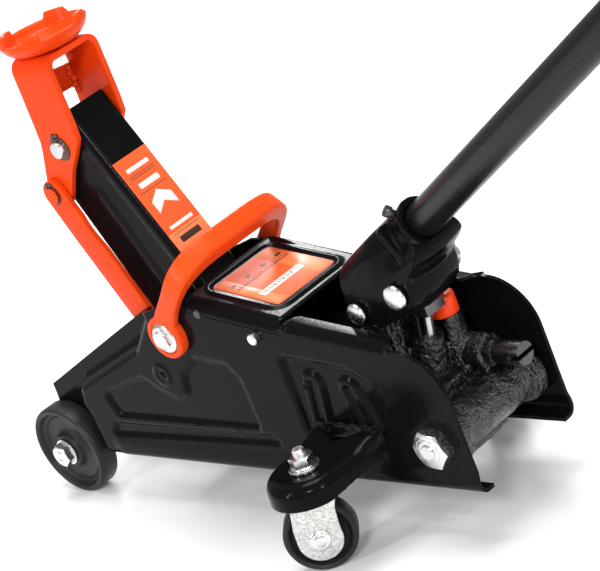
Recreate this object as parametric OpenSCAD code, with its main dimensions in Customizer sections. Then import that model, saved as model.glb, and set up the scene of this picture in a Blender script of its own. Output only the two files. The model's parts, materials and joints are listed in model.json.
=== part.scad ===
/* [Chassis] */
// Width across the outer faces of the side plates
chassis_w = 87.8; // [84:0.2:92]
// Thickness of the side plate sheet
plate_t = 3; // [2.5:0.1:3]
// Height of the side plates' bottom edge above the floor
plate_z = 34; // [33:0.5:36]
// How far the front of each side plate is set in, beside the wheel
joggle = 12.4; // [12:0.1:12.8]
// Height of the cover plate's front edge
cover_z = 163; // [161:0.5:164]

/* [Lifting linkage] */
// Distance between the arm's two pivots
arm_l = 180.7; // [178:0.1:182]
// Angle of the raised arm above the floor
arm_angle = 66.7; // [62:0.1:68]
// Outside width of the lift arm
arm_w = 36; // [34:0.5:36]
// Outside width of the saddle yoke
yoke_w = 45.8; // [45:0.1:46]
// Width of each levelling link
link_w = 22; // [18:0.5:22]
// Radius of the saddle's rim
saddle_r = 31; // [29:0.1:34]
// Height of the saddle's seat above the floor, arm raised
saddle_top = 337; // [336:0.5:339]

/* [Running gear] */
// Radius of the front wheels
wheel_r = 34.4; // [32:0.1:35]
// Width of the front wheels
wheel_w = 18.9; // [16:0.1:19]
// Radius of the caster wheels
caster_r = 24; // [22:0.1:25]
// Distance from the caster's stem to its axle
caster_trail = 6.5; // [5:0.5:12]
// Angle that the casters stand at
caster_yaw = 42; // [0:1:60]

/* [Handle] */
// Angle of the handle above the floor
handle_angle = 31.3; // [30:0.1:33]
// Outer radius of the handle tube
handle_r = 11.3; // [10:0.1:12]
// Length of the handle beyond the socket's rim
handle_l = 600; // [500:5:640]
// Length of the grip
grip_l = 120; // [90:5:140]

/* [Hidden] */
$fn = 64;

// Half widths, from the middle of the jack outwards
plate_out = chassis_w / 2;
plate_in = plate_out - plate_t;
nose_out = plate_out - joggle;
nose_in = nose_out - plate_t;
arm_out = arm_w / 2;
arm_in = arm_out - 3;
yoke_out = yoke_w / 2;
yoke_in = yoke_out - 4;
link_in = yoke_out + 0.6;
link_out = link_in + 4;

// Running clearance of a shaft in its bore
slip = 0.05;

// Pivots in the side view, [x, z]
front_axle = [-256.5, wheel_r];
arm_pivot = [-78, 95];
yoke_pivot = arm_pivot + arm_l * [-cos(arm_angle), sin(arm_angle)];
link_offset = [-23.5, -32.1];
link_pivot = arm_pivot + link_offset;
link_top = yoke_pivot + link_offset;
horn_at = [-18.8, -33];
carry_pivot = [-84.5, 136];
socket_pivot = [74.2, 143.5];
striker_at = [112.6, 155.6];
striker_r = 23.5;
rear_bolt = [123.3, 67.1];
ram_z = 62;
ram_head_x = -100.9;
caster_at = [44, 83.5];
bracket_z = 66;
bracket_t = 3;
bracket_rim = 14;
socket_rim = [134, 195];
piston_foot = [97.8, 112.7];
piston_lean = 15.7;
piston_up = 21.1;
piston_r = 5.4;
cap_at = [102, 17];
valve_y = 22;
valve_z = 91;

// The jack's length, from the front wheels to the end of the grip
grip_r = handle_r + 3.2;
x_front = front_axle.x - wheel_r;
x_back = socket_rim.x + handle_l * cos(handle_angle) + grip_r * sin(handle_angle);
origin_x = -(x_front + x_back) / 2;

paint = "#16171a";
orange = "#f4551f";
zinc = "#c9ccd0";
cast = "#202124";
wheel_grey = "#3a3c40";

// ---------- Shared shapes ----------

module placed() translate([origin_x, 0, 0]) children();

module mirrored() mirror([0, 1, 0]) children();

module both_sides() {
    children();
    mirrored() children();
}

// Moves children to a point of the side view
module at(p) translate([p.x, 0, p.y]) children();

// A side-view outline made solid between two distances from the middle, on the left
module slab(inner, outer) translate([0, -inner, 0]) rotate([90, 0, 0]) linear_extrude(outer - inner)
    children();

// A rod across the jack, between two distances from the middle, on the left
module rod(r, inner, outer) translate([0, -inner, 0]) rotate([90, 0, 0]) cylinder(r = r, h = outer - inner);

// A hexagon across the jack, on the left
module hex(af, inner, outer) translate([0, -inner, 0]) rotate([90, 0, 0])
    cylinder(r = af / sqrt(3), h = outer - inner, $fn = 6);

// Points of an arc about c
function arc(c, r, from, to, n = 10) =
    [for (i = [0:n]) c + r * [cos(from + (to - from) * i / n), sin(from + (to - from) * i / n)]];

// A bar with round ends between two points
module bar(a, b, w) hull() {
    translate(a) circle(d = w);
    translate(b) circle(d = w);
}

// ---------- Chassis ----------

// Where the plate bends in beside the wheel: the wide part's edge, top to bottom
bend = [[-112, 147], [-130, 117], [-214, 82], [-214, plate_z]];
bend_run = 8;

module plate_outline() polygon(concat(
    [[147, plate_z]],
    arc([113, 97], 34, 0, 90),
    [[27, 144], [23, 144.5], [23, 136.5], [-61, 151], [-61, 156], [-87, 156]],
    bend));

module nose_outline() difference() {
    union() {
        polygon(concat(
            [for (p = bend) p - [bend_run, 0]],
            [[-238, 26], front_axle - [13, 0], [-270, 56], [-264, 81.5], [-170, 125.4]]));
        translate(front_axle) circle(r = 13);
    }
    translate(front_axle) circle(r = 5 + slip);
}

module plate_holes() {
    at(carry_pivot) rod(4 + slip, 0, 60);
    at(rear_bolt) rod(6 + slip, 0, 60);
}

module left_plate() {
    difference() {
        slab(plate_in, plate_out) plate_outline();
        plate_holes();
    }
    slab(nose_in, nose_out) nose_outline();
    for (i = [0:2]) hull() for (p = [bend[i], bend[i + 1]]) {
        translate([p.x, -plate_out, p.y]) cube([0.1, plate_t, 0.1]);
        translate([p.x - bend_run, -nose_out, p.y]) cube([0.1, plate_t, 0.1]);
    }
    // Bottom flange and rear top flange
    slab(plate_in - 6, plate_in) polygon([[-210, plate_z], [147, plate_z], [147, plate_z + 3], [-210, plate_z + 3]]);
    slab(plate_in - 7, plate_in) polygon([[29, 143.7], [113, 131], [113, 128], [29, 140.7]]);
}

module side_plate_left() placed() color(paint) left_plate();

module side_plate_right() placed() color(paint) mirrored() left_plate();

cover_x = [-60, 21.5];
cover_drop = 14.8;
cover_t = 1.8;
cover_holes = [[-49.5, 151.5], [-1.5, 136.5]];

// The cover's side-view strip, a given depth under its top
module cover_strip(top, bottom) polygon([
    [cover_x[0], cover_z - top], [cover_x[1], cover_z - cover_drop - top],
    [cover_x[1], cover_z - cover_drop - bottom], [cover_x[0], cover_z - bottom]]);

module cover_plate() placed() color(paint) {
    slab(-40, 40) cover_strip(0, cover_t);
    both_sides() {
        hull() {
            slab(39.9, 40) cover_strip(0, cover_t);
            slab(plate_out + 0.2, plate_out + 2) cover_strip(3.9, 4);
        }
        difference() {
            slab(plate_out + 0.2, plate_out + 2) cover_strip(3.9, 21.3);
            for (p = cover_holes) at(p) rod(2.5 + slip, 40, 60);
        }
    }
}

module cover_label() placed() color("#f2792f") slab(-29, 29) intersection() {
    cover_strip(-0.55, -0.05);
    translate([-51, 100]) square([62, 80]);
}

module cover_screws() placed() color(zinc) both_sides() {
    for (p = cover_holes) at(p) rod(2.5, plate_out + 0.1, plate_out + 2);
    at(cover_holes[0]) rod(3.2, plate_out + 2, plate_out + 3.2);
    at(cover_holes[1]) rod(4, plate_out + 2, plate_out + 6.5);
}

// Moves children onto the pump's leaning axis, +Z along it
module on_pump_axis() translate([piston_foot.x, 0, piston_foot.y]) rotate([0, piston_lean, 0]) children();

module cylinder_block() placed() color(cast) difference() {
    union() {
        translate([58, -25, 38]) cube([54, 50, 50]);
        at(rear_bolt) rod(15, -plate_in + slip, plate_in - slip);
        at(rear_bolt) rod(19, plate_in - 8, plate_in - slip);
        mirrored() at(rear_bolt) rod(19, plate_in - 8, plate_in - slip);
        on_pump_axis() translate([0, 0, -40]) cylinder(r = 11, h = 34);
        translate([cap_at.x, cap_at.y, 80]) cylinder(r = 9.5, h = 40.4);
        translate([62, valve_y, valve_z]) rotate([0, 90, 0]) cylinder(r = 12, h = 61);
        // Lug that carries the handle socket
        slab(-18, 18) union() {
            polygon([[62, 86], [90, 86], [85, 139], [64, 139]]);
            translate(socket_pivot) circle(r = 11.5);
        }
    }
    translate([50, 0, ram_z]) rotate([0, 90, 0]) cylinder(r = 20 + slip, h = 20);
    translate([30, 0, ram_z]) rotate([0, 90, 0]) cylinder(r = 15, h = 60);
    at(socket_pivot) rod(6 + slip, -30, 30);
    both_sides() at(rear_bolt) rod(6 + slip, 20, 60);
    on_pump_axis() translate([0, 0, -44]) cylinder(r = piston_r + slip, h = 60);
    on_pump_axis() translate([0, 0, -6]) cylinder(r = 12, h = 30);
    translate([cap_at.x, cap_at.y, 112]) cylinder(r = 4 + slip, h = 20);
    translate([76, valve_y, valve_z]) rotate([0, 90, 0]) cylinder(r = 5 + slip, h = 60);
}

module ram_cylinder() placed() color(cast) difference() {
    translate([-15, 0, ram_z]) rotate([0, 90, 0]) cylinder(r = 20, h = 84.9);
    translate([-20, 0, ram_z]) rotate([0, 90, 0]) cylinder(r = 15, h = 100);
}

module ram_gland() placed() color(zinc) translate([-15, 0, ram_z]) rotate([0, 90, 0]) difference() {
    cylinder(r = 15 - slip, h = 10);
    translate([0, 0, -1]) cylinder(r = 11 + slip, h = 12);
}

module rear_bolts() placed() color(zinc) both_sides() at(rear_bolt) {
    rod(6, 22, plate_out + 1);
    rod(13.8, plate_out + slip, plate_out + 2);
    hex(23.5, plate_out + 2, plate_out + 10.5);
    rod(5, plate_out + 10.5, plate_out + 12);
}

// Plan outline of a caster bracket, drawn in by a margin
module bracket_outline(m = 0) hull() {
    translate([caster_at.x, -caster_at.y]) circle(r = 28 - m);
    translate([14 + m, -plate_out - 5]) square([66 - 2 * m, 5]);
}

module bracket_left() difference() {
    union() {
        translate([0, 0, bracket_z]) linear_extrude(bracket_t) bracket_outline();
        difference() {
            translate([0, 0, bracket_z - bracket_rim]) linear_extrude(bracket_rim + 0.1) bracket_outline();
            translate([0, 0, bracket_z - bracket_rim - 1]) linear_extrude(bracket_rim + 2) bracket_outline(2);
        }
        translate([20, -plate_out - 2, bracket_z]) cube([60, 2, 8]);
    }
    translate([caster_at.x, -caster_at.y, 0]) cylinder(r = 4.2 + slip, h = 100);
    // The rim is open against the side plate
    translate([10, -plate_out - 6, 30]) cube([80, 10, bracket_z - 30]);
}

module caster_bracket_left() placed() color(paint) bracket_left();

module caster_bracket_right() placed() color(paint) mirrored() bracket_left();

module arm_pivot_shaft() placed() color(zinc) at(arm_pivot) difference() {
    rod(7, -plate_in + slip, plate_in - slip);
    both_sides() difference() {
        rod(8, 35.6, 36.6);
        rod(6, 35, 37);
    }
}

module pivot_shaft_clips() placed() color("#2b2c2e") both_sides() at(arm_pivot) difference() {
    rod(10, 35.65, 36.55);
    rod(6 + slip, 35, 37);
}

module link_pivot_pins() placed() color(zinc) both_sides() at(link_pivot) {
    rod(5, link_in, plate_in - slip);
    rod(8, link_out + 0.3, plate_in - slip);
}

module front_axle_bolts() placed() color(zinc) both_sides() at(front_axle) {
    rod(5, nose_in, nose_out + wheel_w + 0.7);
    rod(10, nose_out + wheel_w + 0.7, nose_out + wheel_w + 1.9);
    hex(15.5, nose_out + wheel_w + 1.9, nose_out + wheel_w + 8.4);
}

module carry_handle_bolts() placed() color(zinc) both_sides() at(carry_pivot) {
    hex(13, plate_in - 6, plate_in - slip);
    rod(4, plate_in - 6, plate_out + 9.4);
    rod(10, plate_out + 9.4, plate_out + 10.8);
    hex(13, plate_out + 10.8, plate_out + 15.8);
}

module filler_cap() placed() color(orange) translate([cap_at.x, cap_at.y, 120.5]) {
    cylinder(r = 9, h = 13);
    translate([0, 0, -8]) cylinder(r = 4, h = 9);
}

module socket_pivot_bolt() placed() color(zinc) at(socket_pivot) {
    rod(6, -27, 27);
    rod(7, 24.4, 28.2);
    mirrored() hex(13, 24.4, 30.5);
}

module pump_gland() placed() color(cast) on_pump_axis() difference() {
    translate([0, 0, -5.9]) cylinder(r = 10, h = 8);
    translate([0, 0, -7]) cylinder(r = piston_r + slip, h = 12);
}

module floor_brace() placed() color(paint)
    translate([-150, -plate_in + 0.2, plate_z + 3.05]) cube([30, 2 * plate_in - 0.4, 2.5]);

module arm_return_springs() placed() color("#2b2c2e") both_sides() at(arm_pivot)
    for (i = [0:4]) translate([0, -24 - 2.2 * i, 0]) rotate([90, 0, 0]) rotate_extrude()
        translate([9.6, 0]) circle(r = 1.2, $fn = 20);

module valve_gland_nut() placed() color(cast) translate([123.1, valve_y, valve_z]) rotate([0, 90, 0])
    difference() {
        cylinder(r = 8.6, h = 5, $fn = 6);
        translate([0, 0, -1]) cylinder(r = 5 + slip, h = 8);
    }

module caster_nuts() placed() color(zinc) both_sides() translate([caster_at.x, -caster_at.y, 0])
    difference() {
        union() {
            translate([0, 0, bracket_z + bracket_t]) cylinder(r = 10, h = 7, $fn = 6);
            translate([0, 0, bracket_z + bracket_t]) cylinder(r = 10, h = 1);
        }
        cylinder(r = 4.2 + slip, h = 100);
    }

module socket_return_spring() placed() color(zinc) translate([101, -17, 88.1]) {
    cylinder(r = 2.5, h = 16);
    for (i = [0:4]) translate([0, 0, 2 + 2.4 * i]) rotate_extrude()
        translate([3.4, 0]) circle(r = 1.1, $fn = 20);
}

module release_valve() placed() color("#55585c") translate([0, valve_y, valve_z]) rotate([0, 90, 0])
    difference() {
        union() {
            translate([0, 0, 80]) cylinder(r = 5, h = 49);
            translate([0, 0, 128.4]) cylinder(r = 7.5, h = 21.6);
        }
        // Cross slot that the handle's end turns
        translate([-1.5, -10, 142]) cube([3, 20, 10]);
    }

// ---------- Lifting linkage ----------

// Moves children into the arm's side view: x along the arm, y towards its top face
module along_arm() translate(arm_pivot) multmatrix([
    [-cos(arm_angle), sin(arm_angle), 0, 0],
    [sin(arm_angle), cos(arm_angle), 0, 0],
    [0, 0, -1, 0],
    [0, 0, 0, 1]]) children();

arm_tip = 197;

// Depth of the arm's top face above the line of its pivots
function arm_top(u) = 34 - 0.0575 * u;

module arm_wall() difference() {
    union() {
        polygon([[-12, 26], [0, arm_top(0)], [arm_tip, arm_top(arm_tip)], [arm_tip, -6],
            [188, -12], [168, -14], [158, -31], [30, -36], [12, -36], [-8, -42], [-27, -40]]);
        circle(r = 17);
        translate(horn_at) circle(r = 11);
    }
    circle(r = 7 + slip);
    translate(horn_at) circle(r = 5 + slip);
    translate([arm_l, 0]) circle(r = 6 + slip);
}

module arm_slab(inner, outer) translate([0, -inner, 0]) rotate([90, 0, 0]) linear_extrude(outer - inner)
    along_arm() children();

module lift_arm() placed() color(paint) {
    both_sides() arm_slab(arm_in, arm_out) arm_wall();
    arm_slab(-arm_out, arm_out) polygon([[0, arm_top(0)], [arm_tip, arm_top(arm_tip)],
        [arm_tip, arm_top(arm_tip) - 3], [0, arm_top(0) - 3]]);
}

module arm_label() placed() color("#f2792f") arm_slab(-15.5, 15.5)
    polygon([[75, arm_top(75)], [151, arm_top(151)], [151, arm_top(151) + 0.5], [75, arm_top(75) + 0.5]]);

module horn_pin() placed() color(zinc) arm_slab(-arm_out - 0.5, arm_out + 0.5) translate(horn_at) circle(r = 5);

module yoke_pin() placed() color(zinc) at(yoke_pivot) difference() {
    rod(6, -yoke_out - 4.6, yoke_out + 4.6);
    both_sides() difference() {
        rod(8, yoke_out + 0.3, yoke_out + 1.3);
        rod(5, yoke_out, yoke_out + 2);
    }
}

module yoke_pin_clips() placed() color("#2b2c2e") both_sides() at(yoke_pivot) difference() {
    rod(8.6, yoke_out + 0.35, yoke_out + 1.25);
    rod(5 + slip, yoke_out, yoke_out + 2);
}

module left_link() slab(link_in, link_out) difference() {
    bar(link_pivot, link_top, link_w);
    translate(link_pivot) circle(r = 5 + slip);
    translate(link_top) circle(r = 4.5 + slip);
}

module link_left() placed() color(orange) left_link();

module link_right() placed() color(orange) mirrored() left_link();

module link_rivets() placed() color(orange) both_sides() at(link_top) {
    rod(4.5, yoke_in, link_out + 1);
    rod(5.8, link_out + 0.9, link_out + 3);
}

module link_clips() placed() color("#2b2c2e") both_sides() at(link_top) difference() {
    rod(7, link_out + slip, link_out + 0.85);
    rod(4.5 + slip, link_out - 1, link_out + 2);
}

yoke_top = saddle_top - 13;
saddle_turn = 30;

module yoke_leg() difference() {
    union() {
        polygon([[-164, yoke_top - 4], [-128, yoke_top - 4], [-127, 266], [-149, 243],
            [-162, 225], [-181, 221], [-183, 235], [-168, 262]]);
        translate(link_top) circle(r = 9);
    }
    translate(yoke_pivot) circle(r = 6 + slip);
    translate(link_top) circle(r = 5.3);
}

module saddle_yoke() placed() color(orange) difference() {
    union() {
        both_sides() slab(yoke_in, yoke_out) yoke_leg();
        slab(-yoke_out, yoke_out) polygon([[-166, yoke_top], [-127, yoke_top],
            [-127, yoke_top - 4], [-166, yoke_top - 4]]);
        // Web across the front of the legs
        slab(-yoke_in - 0.1, yoke_in + 0.1) polygon([[-166, yoke_top - 3.9], [-162.5, yoke_top - 3.9],
            [-163.5, 290], [-167, 290]]);
    }
    translate([-147.7, 0, 200]) cylinder(r = 8 + slip, h = 200);
}

module saddle() placed() color(orange) translate([-147.7, 0, 0]) {
    rotate_extrude() polygon([[0, yoke_top + 0.3], [16, yoke_top + 0.3], [23, yoke_top + 1.3],
        [27.2, yoke_top + 4], [saddle_r - 1, yoke_top + 8], [saddle_r, yoke_top + 11], [saddle_r, saddle_top],
        [saddle_r - 3.5, saddle_top], [26, saddle_top - 7], [0, saddle_top - 7]]);
    for (a = [0:90:270]) rotate(a + saddle_turn) translate([saddle_r - 9, -8, saddle_top - 7.5])
        cube([7.5, 16, 11.5]);
    translate([0, 0, yoke_top - 14]) cylinder(r = 8, h = 16);
}

module saddle_nut() placed() color(zinc) translate([-147.7, 0, yoke_top - 12.3]) difference() {
    cylinder(r = 13, h = 8, $fn = 6);
    translate([0, 0, -1]) cylinder(r = 8 + slip, h = 10);
}

module ram_rod() placed() color(zinc) translate([ram_head_x + 12, 0, ram_z]) rotate([0, 90, 0])
    cylinder(r = 11, h = 92);

module ram_head() placed() color(cast) slab(-13, 13) translate([ram_head_x, 0]) difference() {
    polygon([[-12, 52], [-6, 47], [12 - slip, 47], [12 - slip, 75], [-6, 75], [-12, 70]]);
    // Slot that the horn pin slides up and down in
    hull() for (z = [56.5, 66.5]) translate([0, z]) circle(r = 6.3, $fn = 32);
}

module ram_piston() placed() color(zinc) translate([ram_head_x + 104.05, 0, ram_z]) rotate([0, 90, 0])
    difference() {
        cylinder(r = 15 - slip, h = 12);
        translate([0, 0, 4]) difference() {
            cylinder(r = 16, h = 4);
            translate([0, 0, -1]) cylinder(r = 12, h = 6);
        }
    }

module ram_seal() placed() color("#18181a") translate([ram_head_x + 108.1, 0, ram_z]) rotate([0, 90, 0])
    difference() {
        cylinder(r = 15 - slip, h = 3.9);
        translate([0, 0, -1]) cylinder(r = 12 + slip, h = 6);
    }

// ---------- Handle ----------

// Moves children onto the handle's axis, +Z away from the socket's rim
module on_handle_axis() translate([socket_rim.x, 0, socket_rim.y]) rotate([0, 90 - handle_angle, 0]) children();

socket_t = 2.5;
socket_out = handle_r + slip + 4;
socket_bore = handle_r + slip;

module handle_socket() placed() color(paint) difference() {
    union() {
        both_sides() slab(21, 24) polygon(concat(
            arc(socket_pivot, 11.5, 160, 280, 8),
            [[86, 131], [114, 142], [121, 149], [123, 157], [122, 165], [125, 172], [132, 178], [134, 184],
                [109, 199], [63, 168]]));
        on_handle_axis() translate([0, 0, -66]) cylinder(r = socket_out, h = 63);
        // Web over the top of the tube, from wall to wall
        slab(-24, 24) polygon([[63, 168], [109, 199], [113, 197], [113, 192], [84, 175], [66, 163]]);
        // Web round the back, from wall to wall
        slab(-24, 24) polygon([[114, 142], [121, 149], [123.4, 157], [125.5, 165], [131, 171], [137, 175.5],
            [135, 178], [128.8, 173.3], [123, 166.7], [120.7, 158], [118.6, 150.5], [115.2, 144.5]]);
        // Plate across the walls that holds the tube near its rim
        on_handle_axis() translate([-14, -22, -16]) cube([28, 44, 4]);
    }
    on_handle_axis() translate([0, 0, -70]) cylinder(r = socket_bore, h = 90);
    at(socket_pivot) rod(6 + slip, -40, 40);
    at(striker_at) rod(4.5 + slip, -40, 40);
    clamp_place() translate([0, 0, 5]) cylinder(r = 2.5 + slip, h = 20);
}

// Moves children onto the clamp screw's axis, +Z outwards from the middle of the tube
module clamp_place() on_handle_axis() translate([0, 0, -7]) rotate([0, 0, 215]) rotate([0, 90, 0]) children();

module striker_block() placed() color("#6d7074") at(striker_at) difference() {
    union() {
        rod(6.4, -20.8, 20.8);
        slab(-8.5, 8.5) intersection() {
            circle(r = striker_r);
            translate([-18, -30]) square([20, 28]);
        }
    }
    rod(4.5 + slip, -30, 30);
}

module striker_bolt() placed() color(zinc) at(striker_at) {
    rod(4.5, -26, 26);
    rod(8.3, 24.1, 28);
    mirrored() hex(15, 24.1, 31);
}

module clamp_bolt() placed() color("#2b2c2e") clamp_place() {
    translate([0, 0, 12]) cylinder(r = 2.5, h = 10);
    translate([0, 0, 19]) cylinder(r = 3.6, h = 4);
}

lower_l = 330;
plug_l = 40;

module handle_lower_tube() placed() color(paint) on_handle_axis() difference() {
    translate([0, 0, -62]) cylinder(r = handle_r, h = 62 + lower_l);
    translate([0, 0, -63]) cylinder(r = handle_r - 1.5, h = 64 + lower_l);
    translate([0, 0, lower_l - 20]) rotate([90, 0, 0]) cylinder(r = 3 + slip, h = 30);
}

module handle_upper_tube() placed() color(paint) on_handle_axis() difference() {
    union() {
        translate([0, 0, lower_l + slip]) cylinder(r = handle_r, h = handle_l - lower_l - 5);
        translate([0, 0, lower_l - plug_l]) cylinder(r = handle_r - 1.5 - slip, h = plug_l + 1);
    }
    translate([0, 0, lower_l - plug_l - 1]) cylinder(r = handle_r - 3, h = handle_l);
    translate([0, 0, lower_l - 20]) rotate([90, 0, 0]) cylinder(r = 3 + slip, h = 30);
}

module handle_grip() placed() color("#1b1b1d") on_handle_axis() difference() {
    translate([0, 0, handle_l - grip_l]) cylinder(r = grip_r, h = grip_l);
    translate([0, 0, handle_l - grip_l - 1]) cylinder(r = handle_r + slip, h = grip_l - 3);
}

module handle_snap_pin() placed() color(zinc) on_handle_axis() translate([0, 0, lower_l - 20])
    rotate([90, 0, 0]) translate([0, 0, handle_r - 3.2]) cylinder(r = 3, h = 6);

module pump_piston() placed() color(zinc) on_pump_axis() translate([0, 0, -34])
    cylinder(r = piston_r, h = 34 + piston_up);

// ---------- Carry handle ----------

carry_in = plate_out + 2.4;
carry_out = plate_out + 9.4;
carry_knee = [-60, 169];
carry_top = [-45, 184.5];

module carry_handle() placed() color(orange) {
    both_sides() difference() {
        union() {
            slab(carry_in - 1.8, carry_out) translate(carry_pivot) circle(r = 15.5);
            slab(carry_in, carry_out) hull() {
                translate(carry_pivot + [1, 5]) circle(r = 10);
                translate(carry_knee) circle(r = 8);
            }
            slab(carry_in, carry_out) bar(carry_knee, carry_top, 17);
        }
        at(carry_pivot) rod(4 + slip, 20, 80);
        at(carry_pivot) rod(11, carry_out - 2, 80);
    }
    slab(-carry_out, carry_out) bar(carry_top, carry_top + [7, 5.5], 16.5);
}

// ---------- Running gear ----------

module left_wheel() at(front_axle) difference() {
    union() {
        rod(wheel_r, nose_out + 3, nose_out + wheel_w + 0.8);
        rod(13, nose_out + 0.3, nose_out + wheel_w + 0.3);
    }
    difference() {
        rod(wheel_r - 5, nose_out + wheel_w - 5, nose_out + wheel_w + 3);
        rod(13, nose_out, nose_out + wheel_w + 0.3);
    }
    rod(5 + slip, 0, 100);
}

module front_wheel_left() placed() color(wheel_grey) left_wheel();

module front_wheel_right() placed() color(wheel_grey) mirrored() left_wheel();

// Moves children to the left caster's axle, with its rod axis along Y
module at_caster() translate([caster_at.x, -caster_at.y, 0]) rotate(caster_yaw) children();

fork_in = 9.3;
fork_t = 2;
fork_z = 55;
caster_w = 16;

module left_fork() at_caster() difference() {
    union() {
        translate([0, 0, fork_z + fork_t]) cylinder(r = 11.3, h = bracket_z - fork_z - fork_t - 0.3);
        translate([0, 0, bracket_z - 1]) cylinder(r = 4.2, h = 17);
        translate([-18, -fork_in - fork_t, fork_z]) cube([33, 2 * (fork_in + fork_t), fork_t]);
        for (y = [-fork_in - fork_t, fork_in]) translate([0, y + fork_t, 0]) rotate([90, 0, 0])
            linear_extrude(fork_t) hull() {
                translate([-caster_trail, caster_r]) circle(r = 14.5);
                translate([-18, fork_z]) square([33, fork_t]);
            }
    }
    translate([-caster_trail, 0, caster_r]) rod(4 + slip, -30, 30);
}

module caster_fork_left() placed() color(zinc) left_fork();

module caster_fork_right() placed() color(zinc) mirrored() left_fork();

module left_axle() at_caster() translate([-caster_trail, 0, caster_r]) {
    rod(4, -fork_in - fork_t - 0.5, fork_in + fork_t + 0.5);
    both_sides() rod(7, fork_in + fork_t + slip, fork_in + fork_t + 2.5);
}

module caster_axle_left() placed() color(zinc) left_axle();

module caster_axle_right() placed() color(zinc) mirrored() left_axle();

module left_caster_wheel() at_caster() translate([-caster_trail, 0, caster_r]) difference() {
    union() {
        rod(caster_r, -caster_w / 2, caster_w / 2);
        rod(8, -caster_w / 2 - 0.8, caster_w / 2 + 0.8);
    }
    rod(4 + slip, -20, 20);
}

module caster_wheel_left() placed() color(wheel_grey) left_caster_wheel();

module caster_wheel_right() placed() color(wheel_grey) mirrored() left_caster_wheel();

side_plate_left();
side_plate_right();
cover_plate();
cover_label();
cover_screws();
cylinder_block();
ram_cylinder();
ram_gland();
rear_bolts();
caster_bracket_left();
caster_bracket_right();
arm_pivot_shaft();
pivot_shaft_clips();
link_pivot_pins();
front_axle_bolts();
carry_handle_bolts();
filler_cap();
socket_pivot_bolt();
pump_gland();
floor_brace();
arm_return_springs();
valve_gland_nut();
caster_nuts();
socket_return_spring();
release_valve();
lift_arm();
arm_label();
horn_pin();
yoke_pin();
yoke_pin_clips();
link_left();
link_right();
link_rivets();
link_clips();
saddle_yoke();
saddle();
saddle_nut();
ram_rod();
ram_head();
ram_piston();
ram_seal();
handle_socket();
striker_block();
striker_bolt();
clamp_bolt();
handle_lower_tube();
handle_upper_tube();
handle_grip();
handle_snap_pin();
pump_piston();
carry_handle();
front_wheel_left();
front_wheel_right();
caster_fork_left();
caster_fork_right();
caster_axle_left();
caster_axle_right();
caster_wheel_left();
caster_wheel_right();
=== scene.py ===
import json
import math

import bmesh
import bpy
import numpy as np
from mathutils import Matrix, Vector, noise


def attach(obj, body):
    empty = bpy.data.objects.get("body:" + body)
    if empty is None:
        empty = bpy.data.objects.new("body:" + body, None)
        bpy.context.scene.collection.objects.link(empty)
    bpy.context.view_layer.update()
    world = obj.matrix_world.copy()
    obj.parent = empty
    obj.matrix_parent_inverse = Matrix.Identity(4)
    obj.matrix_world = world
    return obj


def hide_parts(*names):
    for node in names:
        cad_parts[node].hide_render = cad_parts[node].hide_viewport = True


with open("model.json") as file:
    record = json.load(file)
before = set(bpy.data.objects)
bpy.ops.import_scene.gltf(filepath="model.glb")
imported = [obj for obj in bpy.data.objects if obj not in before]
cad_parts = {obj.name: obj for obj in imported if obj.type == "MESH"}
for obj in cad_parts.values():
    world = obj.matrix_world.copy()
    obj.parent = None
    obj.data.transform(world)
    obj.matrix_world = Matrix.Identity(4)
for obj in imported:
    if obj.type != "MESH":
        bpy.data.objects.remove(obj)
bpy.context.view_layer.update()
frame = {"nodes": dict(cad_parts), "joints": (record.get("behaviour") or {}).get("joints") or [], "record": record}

NODES = frame["nodes"]
JOINTS = {j["name"]: j for j in frame["joints"]}

# The jack is worked out in its own millimetres: x from the front wheels towards the handle, y from the
# middle towards the right-hand side, z up. The arm's pivot is at x = -78 there, which ties it to the frame.
ARM_PIVOT = (-78.0, 95.0)
SHIFT = JOINTS["arm_lift"]["pos_m"][0] - ARM_PIVOT[0] / 1000
LEFT = (0, -1, 0)
UP = (0, 0, 1)


def P(x, y, z):
    """A point in the jack's millimetres, as a vector in the frame's metres."""
    return Vector((x / 1000 + SHIFT, y / 1000, z / 1000))


# ---------- Sizes shared by several pieces, in millimetres and degrees ----------

PLATE_OUT = 43.9
PLATE_IN = PLATE_OUT - 3.0
NOSE_OUT = 31.5
PLATE_Z = 34.0
FRONT_AXLE = (-256.5, 34.4)
WHEEL_W = 18.9
REAR_BOLT = (123.3, 67.1)
CARRY_PIVOT = (-84.5, 136.0)
SOCKET_RIM = (134.0, 195.0)
HANDLE_ANGLE = 31.3
HANDLE_R = 11.3
ARM_ANGLE = 66.7
ARM_LENGTH = 180.7
ARM_OUT = 18.0
YOKE_OUT = 22.9
LINK_OUT = YOKE_OUT + 4.6
CASTER_AT = (44.0, 83.5)
CASTER_YAW = 42.0
CASTER_TRAIL = 6.5
CASTER_R = 24.0
BRACKET_TOP = 69.0
SADDLE_X = -147.7
SADDLE_TOP = 337.0
YOKE_TOP = 324.0
PUMP_FOOT = (97.8, 0, 112.7)
PUMP_LEAN = 15.7
CAP_AT = (102.0, 17.0, 120.5)


# ---------- Mesh tools ----------

def cosd(angle):
    return math.cos(math.radians(angle))


def sind(angle):
    return math.sin(math.radians(angle))


def round_turn(count):
    """Angles in radians, evenly round a circle."""
    return [2 * math.pi * k / count for k in range(count)]


def smoothstep(t):
    t = np.clip(t, 0.0, 1.0)
    return t * t * (3 - 2 * t)


def arc(cx, cy, r, start, end, n=8):
    """Points along an arc, angles in degrees."""
    angles = [start + (end - start) * i / n for i in range(n + 1)]
    return [(cx + r * cosd(a), cy + r * sind(a)) for a in angles]


def circle(cx, cy, r):
    return [(cx + r * math.cos(a), cy + r * math.sin(a)) for a in round_turn(40)]


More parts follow.
